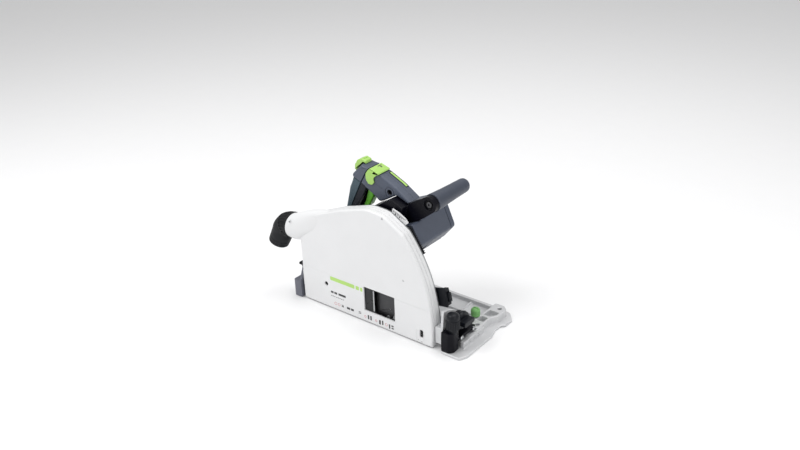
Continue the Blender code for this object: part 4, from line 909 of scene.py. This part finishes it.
def saw_blade():
    """Blade with hooked teeth, expansion slots and brazed carbide tips."""
    def spot(radius, angle):
        return polar(SPINDLE_X, SPINDLE_Z, radius, angle)

    points = []
    tips = []
    pitch = 360 / TEETH
    for i in range(TEETH):
        start = pitch * i
        rim = BLADE_R - 1.3
        points += [spot(BLADE_R - 0.6, start), spot(rim, start + 0.28 * pitch)]
        points += [spot(rim - 5.9 * sin(pi / 2 * t), start + (0.28 + 0.5 * t) * pitch) for t in (0.33, 0.66, 1.0)]
        points += [spot(GULLET_R + rise, start + share * pitch)
                   for rise, share in ((0, 0.86), (0.1, 0.93), (1.6, 0.975))]
        corners = [spot(BLADE_R - drop, start + turn)
                   for drop, turn in ((0, -0.2), (0.35, 0.9), (5.2, 0.8), (5.4, -0.15))]
        tips.append(prism(corners, "XZ", BLADE_MID - 1.2, BLADE_MID + 1.2))
    low = BLADE_MID - 2
    high = BLADE_MID + 2
    cuts = [disc("Y", (SPINDLE_X, 0, SPINDLE_Z), 15.0, low, high, 64)]
    for k in range(4):
        first = 90 * k + 12
        last = 90 * k + 24
        slot = arc(SPINDLE_X, SPINDLE_Z, SLOT_R + 0.3, first, last, 10)
        slot += arc(SPINDLE_X, SPINDLE_Z, SLOT_R - 0.3, last, first, 10)
        x, z = spot(SLOT_R, last)
        cuts += [prism(slot, "XZ", low, high), disc("Y", (x, 0, z), 1.8, low, high)]
    piece("blade_disc", prism(points, "XZ", BLADE_MID - 1.1, BLADE_MID + 1.1), BLADE_IN_SHADE, "spindle", "steel",
          ["saw_blade"], cuts)
    piece("blade_tips", joined(*tips), CARBIDE, "spindle", "steel")


def castings():
    """CAD nodes that only need softer edges to look cast or moulded."""
    soft_copy("gear_case", BLACK_CAST, 0.75, 3, 0.3)
    soft_copy("front_clamp_bracket", BLACK_CAST, 0.5, 3, 0.3)
    soft_copy("rear_clamp_bracket", LIT_BRACKET, 0.5, 3, 0.3)
    soft_copy("front_bevel_segment", CAST, 0.6, 2, 0.3)
    soft_copy("rear_bevel_segment", CAST, 0.6, 2, 0.3)
    soft_copy("depth_stop", BLACK, 0.35, 3, 0.35)
    soft_copy("depth_stop_button", BLACK, 0.3, 3, 0.35)
    soft_copy("speed_dial", GREEN, 0.3, 2, 0.35)


# ---------------------------------------------------------------- base and knobs

def base():
    """Cast base with two rows of shallow slots in its front wall."""
    slots = []
    for z0, z1 in ((7.2, 10.4), (12.2, 15.0)):
        for y in (30, 42, 56, 70):
            slots.append(block(356.5, 362, y, y + 7, z0, z1))
    soft_copy("base_plate", CAST, 0.9, 3, 0.28, slots)


def ribbed_knob(name, centre, levels, ribs, depth, material, body, slot, replaces, axis="Z", cuts=()):
    """Turned knob whose marked levels carry grip ribs. Levels are (radius, height, ribbed)."""
    rings = []
    count = ribs * 8
    for radius, height, ribbed in levels:
        ring = []
        for i in range(count):
            dip = depth * (0.5 - 0.5 * cos(2 * pi * i / 8)) if ribbed else 0.0
            u = (radius - dip) * cos(2 * pi * i / count)
            v = (radius - dip) * sin(2 * pi * i / count)
            ring.append(tuple(c + o for c, o in zip(centre, on_axis(axis, u, v, height))))
        rings.append(ring)
    piece(name, loft(rings), material, body, slot, replaces, cuts, 40)


def knobs():
    """Ribbed stop and guide knobs, and the two winged clamp knobs."""
    x, y, _ = STOP_KNOB
    ribbed_knob("bevel_stop_grip", (x, y, 0),
                [(9.0, 44.3, 0), (9.0, 49.5, 0), (11.8, 50.3, 0), (12.4, 51.3, 1), (12.5, 66.5, 1),
                 (12.0, 67.6, 0), (11.2, 68.2, 0), (11.6, 69.0, 0), (11.7, 73.0, 0), (10.8, 76.4, 0),
                 (8.8, 78.6, 0), (5.6, 79.9, 0), (2.0, 80.35, 0)], 26, 0.9, BLACK, "bevel_stop_knob_body",
                "black_plastic", ["bevel_stop_knob"])
    for end in ("front", "rear"):
        x, y, _ = middle_of("guide_knob_" + end)
        low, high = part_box("guide_knob_" + end)
        bottom = (low.z - ORIGIN.z) / MM
        top = (high.z - ORIGIN.z) / MM
        slot = [block(x - 7, x + 7, y - 0.9, y + 0.9, top - 1.7, top + 2)]
        ribbed_knob("guide_grip_" + end, (x, y, 0),
                    [(5.6, bottom, 0), (6.0, bottom + 0.2, 0), (8.4, bottom + 1.6, 0), (8.6, bottom + 2.4, 1),
                     (8.6, top - 5.2, 1), (8.2, top - 3.9, 0), (6.8, top - 1.6, 0), (4.4, top - 0.5, 0),
                     (1.5, top - 0.05, 0)], 20, 0.5, DULL_GREEN, f"guide_knob_{end}_body", "green_plastic",
                    ["guide_knob_" + end], "Z", slot)
    soft_copy("bevel_clamp_knob_front", BLACK, 0.45, 3, 0.35)
    soft_copy("bevel_clamp_knob_rear", BLACK, 0.35, 3, 0.35)


def kept_nodes():
    """Materials of the CAD nodes that are shown as they are."""
    dress(GREY, "guard_back_plate", "stator", "switch_module")
    dress(SPUN, "inner_flange", "outer_flange")
    dress(STEEL, "plunge_pivot_shaft", "pivot_retaining_ring", "plunge_spring", "bracket_screw_inner",
          "bracket_screw_outer", "spindle_bearing_front", "spindle_bearing_rear", "armature_bearing_front",
          "armature_bearing_rear", "idler_cluster", "spindle_shaft", "drive_gear", "blade_screw", "riving_knife")
    dress(DARK_STEEL, "front_handle_screw", "bearing_plate")
    dress(WHITE, "depth_scale")
    dress(BLACK, "cooling_fan")
    dress(COPPER, "armature", "brush_front", "brush_rear")
    dress(BOARD, "motor_electronics")


# ---------------------------------------------------------------- floor, light and camera

def stage():
    """Wide pale floor just under the base."""
    far = 14
    mesh = bpy.data.meshes.new("floor")
    mesh.from_pydata([(-far, -far, 0), (far, -far, 0), (far, far, 0), (-far, far, 0)], [], [(0, 1, 2, 3)])
    floor = bpy.data.objects.new("floor", mesh)
    bpy.context.scene.collection.objects.link(floor)
    floor.location.z = -0.0002
    paint = surface("floor_paper", (0.90, 0.90, 0.905), 0.6, vary=0.004, wear=0.0, grain=300.0, depth=0.00001)
    mesh.materials.append(paint)


def area_light(name, place, target, size, power):
    lamp = bpy.data.lights.new(name, "AREA")
    lamp.shape = "RECTANGLE"
    lamp.size = size[0]
    lamp.size_y = size[1]
    lamp.energy = power
    made = bpy.data.objects.new(name, lamp)
    made.location = place
    made.rotation_euler = (Vector(target) - Vector(place)).to_track_quat("-Z", "Y").to_euler()
    bpy.context.scene.collection.objects.link(made)


def lights():
    world = bpy.data.worlds.new("studio")
    world.use_nodes = True
    background = world.node_tree.nodes["Background"]
    background.inputs["Color"].default_value = (1.0, 1.0, 1.0, 1)
    background.inputs["Strength"].default_value = 0.56
    bpy.context.scene.world = world
    area_light("key", (-0.9, -1.3, 1.9), (0, 0, 0.1), (1.2, 0.9), 26)
    area_light("top", (0.2, 0.5, 2.2), (0, 0, 0.1), (1.4, 1.4), 21)
    area_light("side", (1.8, -0.5, 0.9), (0, 0, 0.15), (0.7, 1.1), 7)
    bpy.context.scene.view_settings.view_transform = "Standard"


def camera():
    turn = radians(38.978)
    drop = radians(25.964)
    roll = radians(-1.973)
    place = Vector((1095.3, -1049.7, 883.3))
    back = Vector((sin(turn) * cos(drop), -cos(turn) * cos(drop), sin(drop)))
    right = Vector((cos(turn), sin(turn), 0))
    up = back.cross(right)
    across = right * cos(roll) + up * sin(roll)
    upright = up * cos(roll) - right * sin(roll)
    lens = bpy.data.cameras.new("camera")
    lens.lens = 39.985
    lens.sensor_width = 36
    lens.clip_end = 60
    made = bpy.data.objects.new("camera", lens)
    bpy.context.scene.collection.objects.link(made)
    rows = Matrix((across, upright, back)).transposed().to_4x4()
    rows.translation = ORIGIN + place * MM
    made.matrix_world = rows
    bpy.context.scene.camera = made


def build():
    blade_guard()
    dust_port()
    small_screw("port_screw_upper", -14.5, -9.0, 163.9, 2.0, "head")
    swivel_collar()
    dust_elbow()
    sight_panel()
    depth_scale_marks()
    depth_rack()
    face_print()
    motor_housing()
    motor_end_cap()
    handle_halves()
    arm_stripe()
    head_cap()
    grip()
    controls()
    front_handle()
    saw_blade()
    castings()
    base()
    knobs()
    kept_nodes()


build()
stage()
lights()
camera()
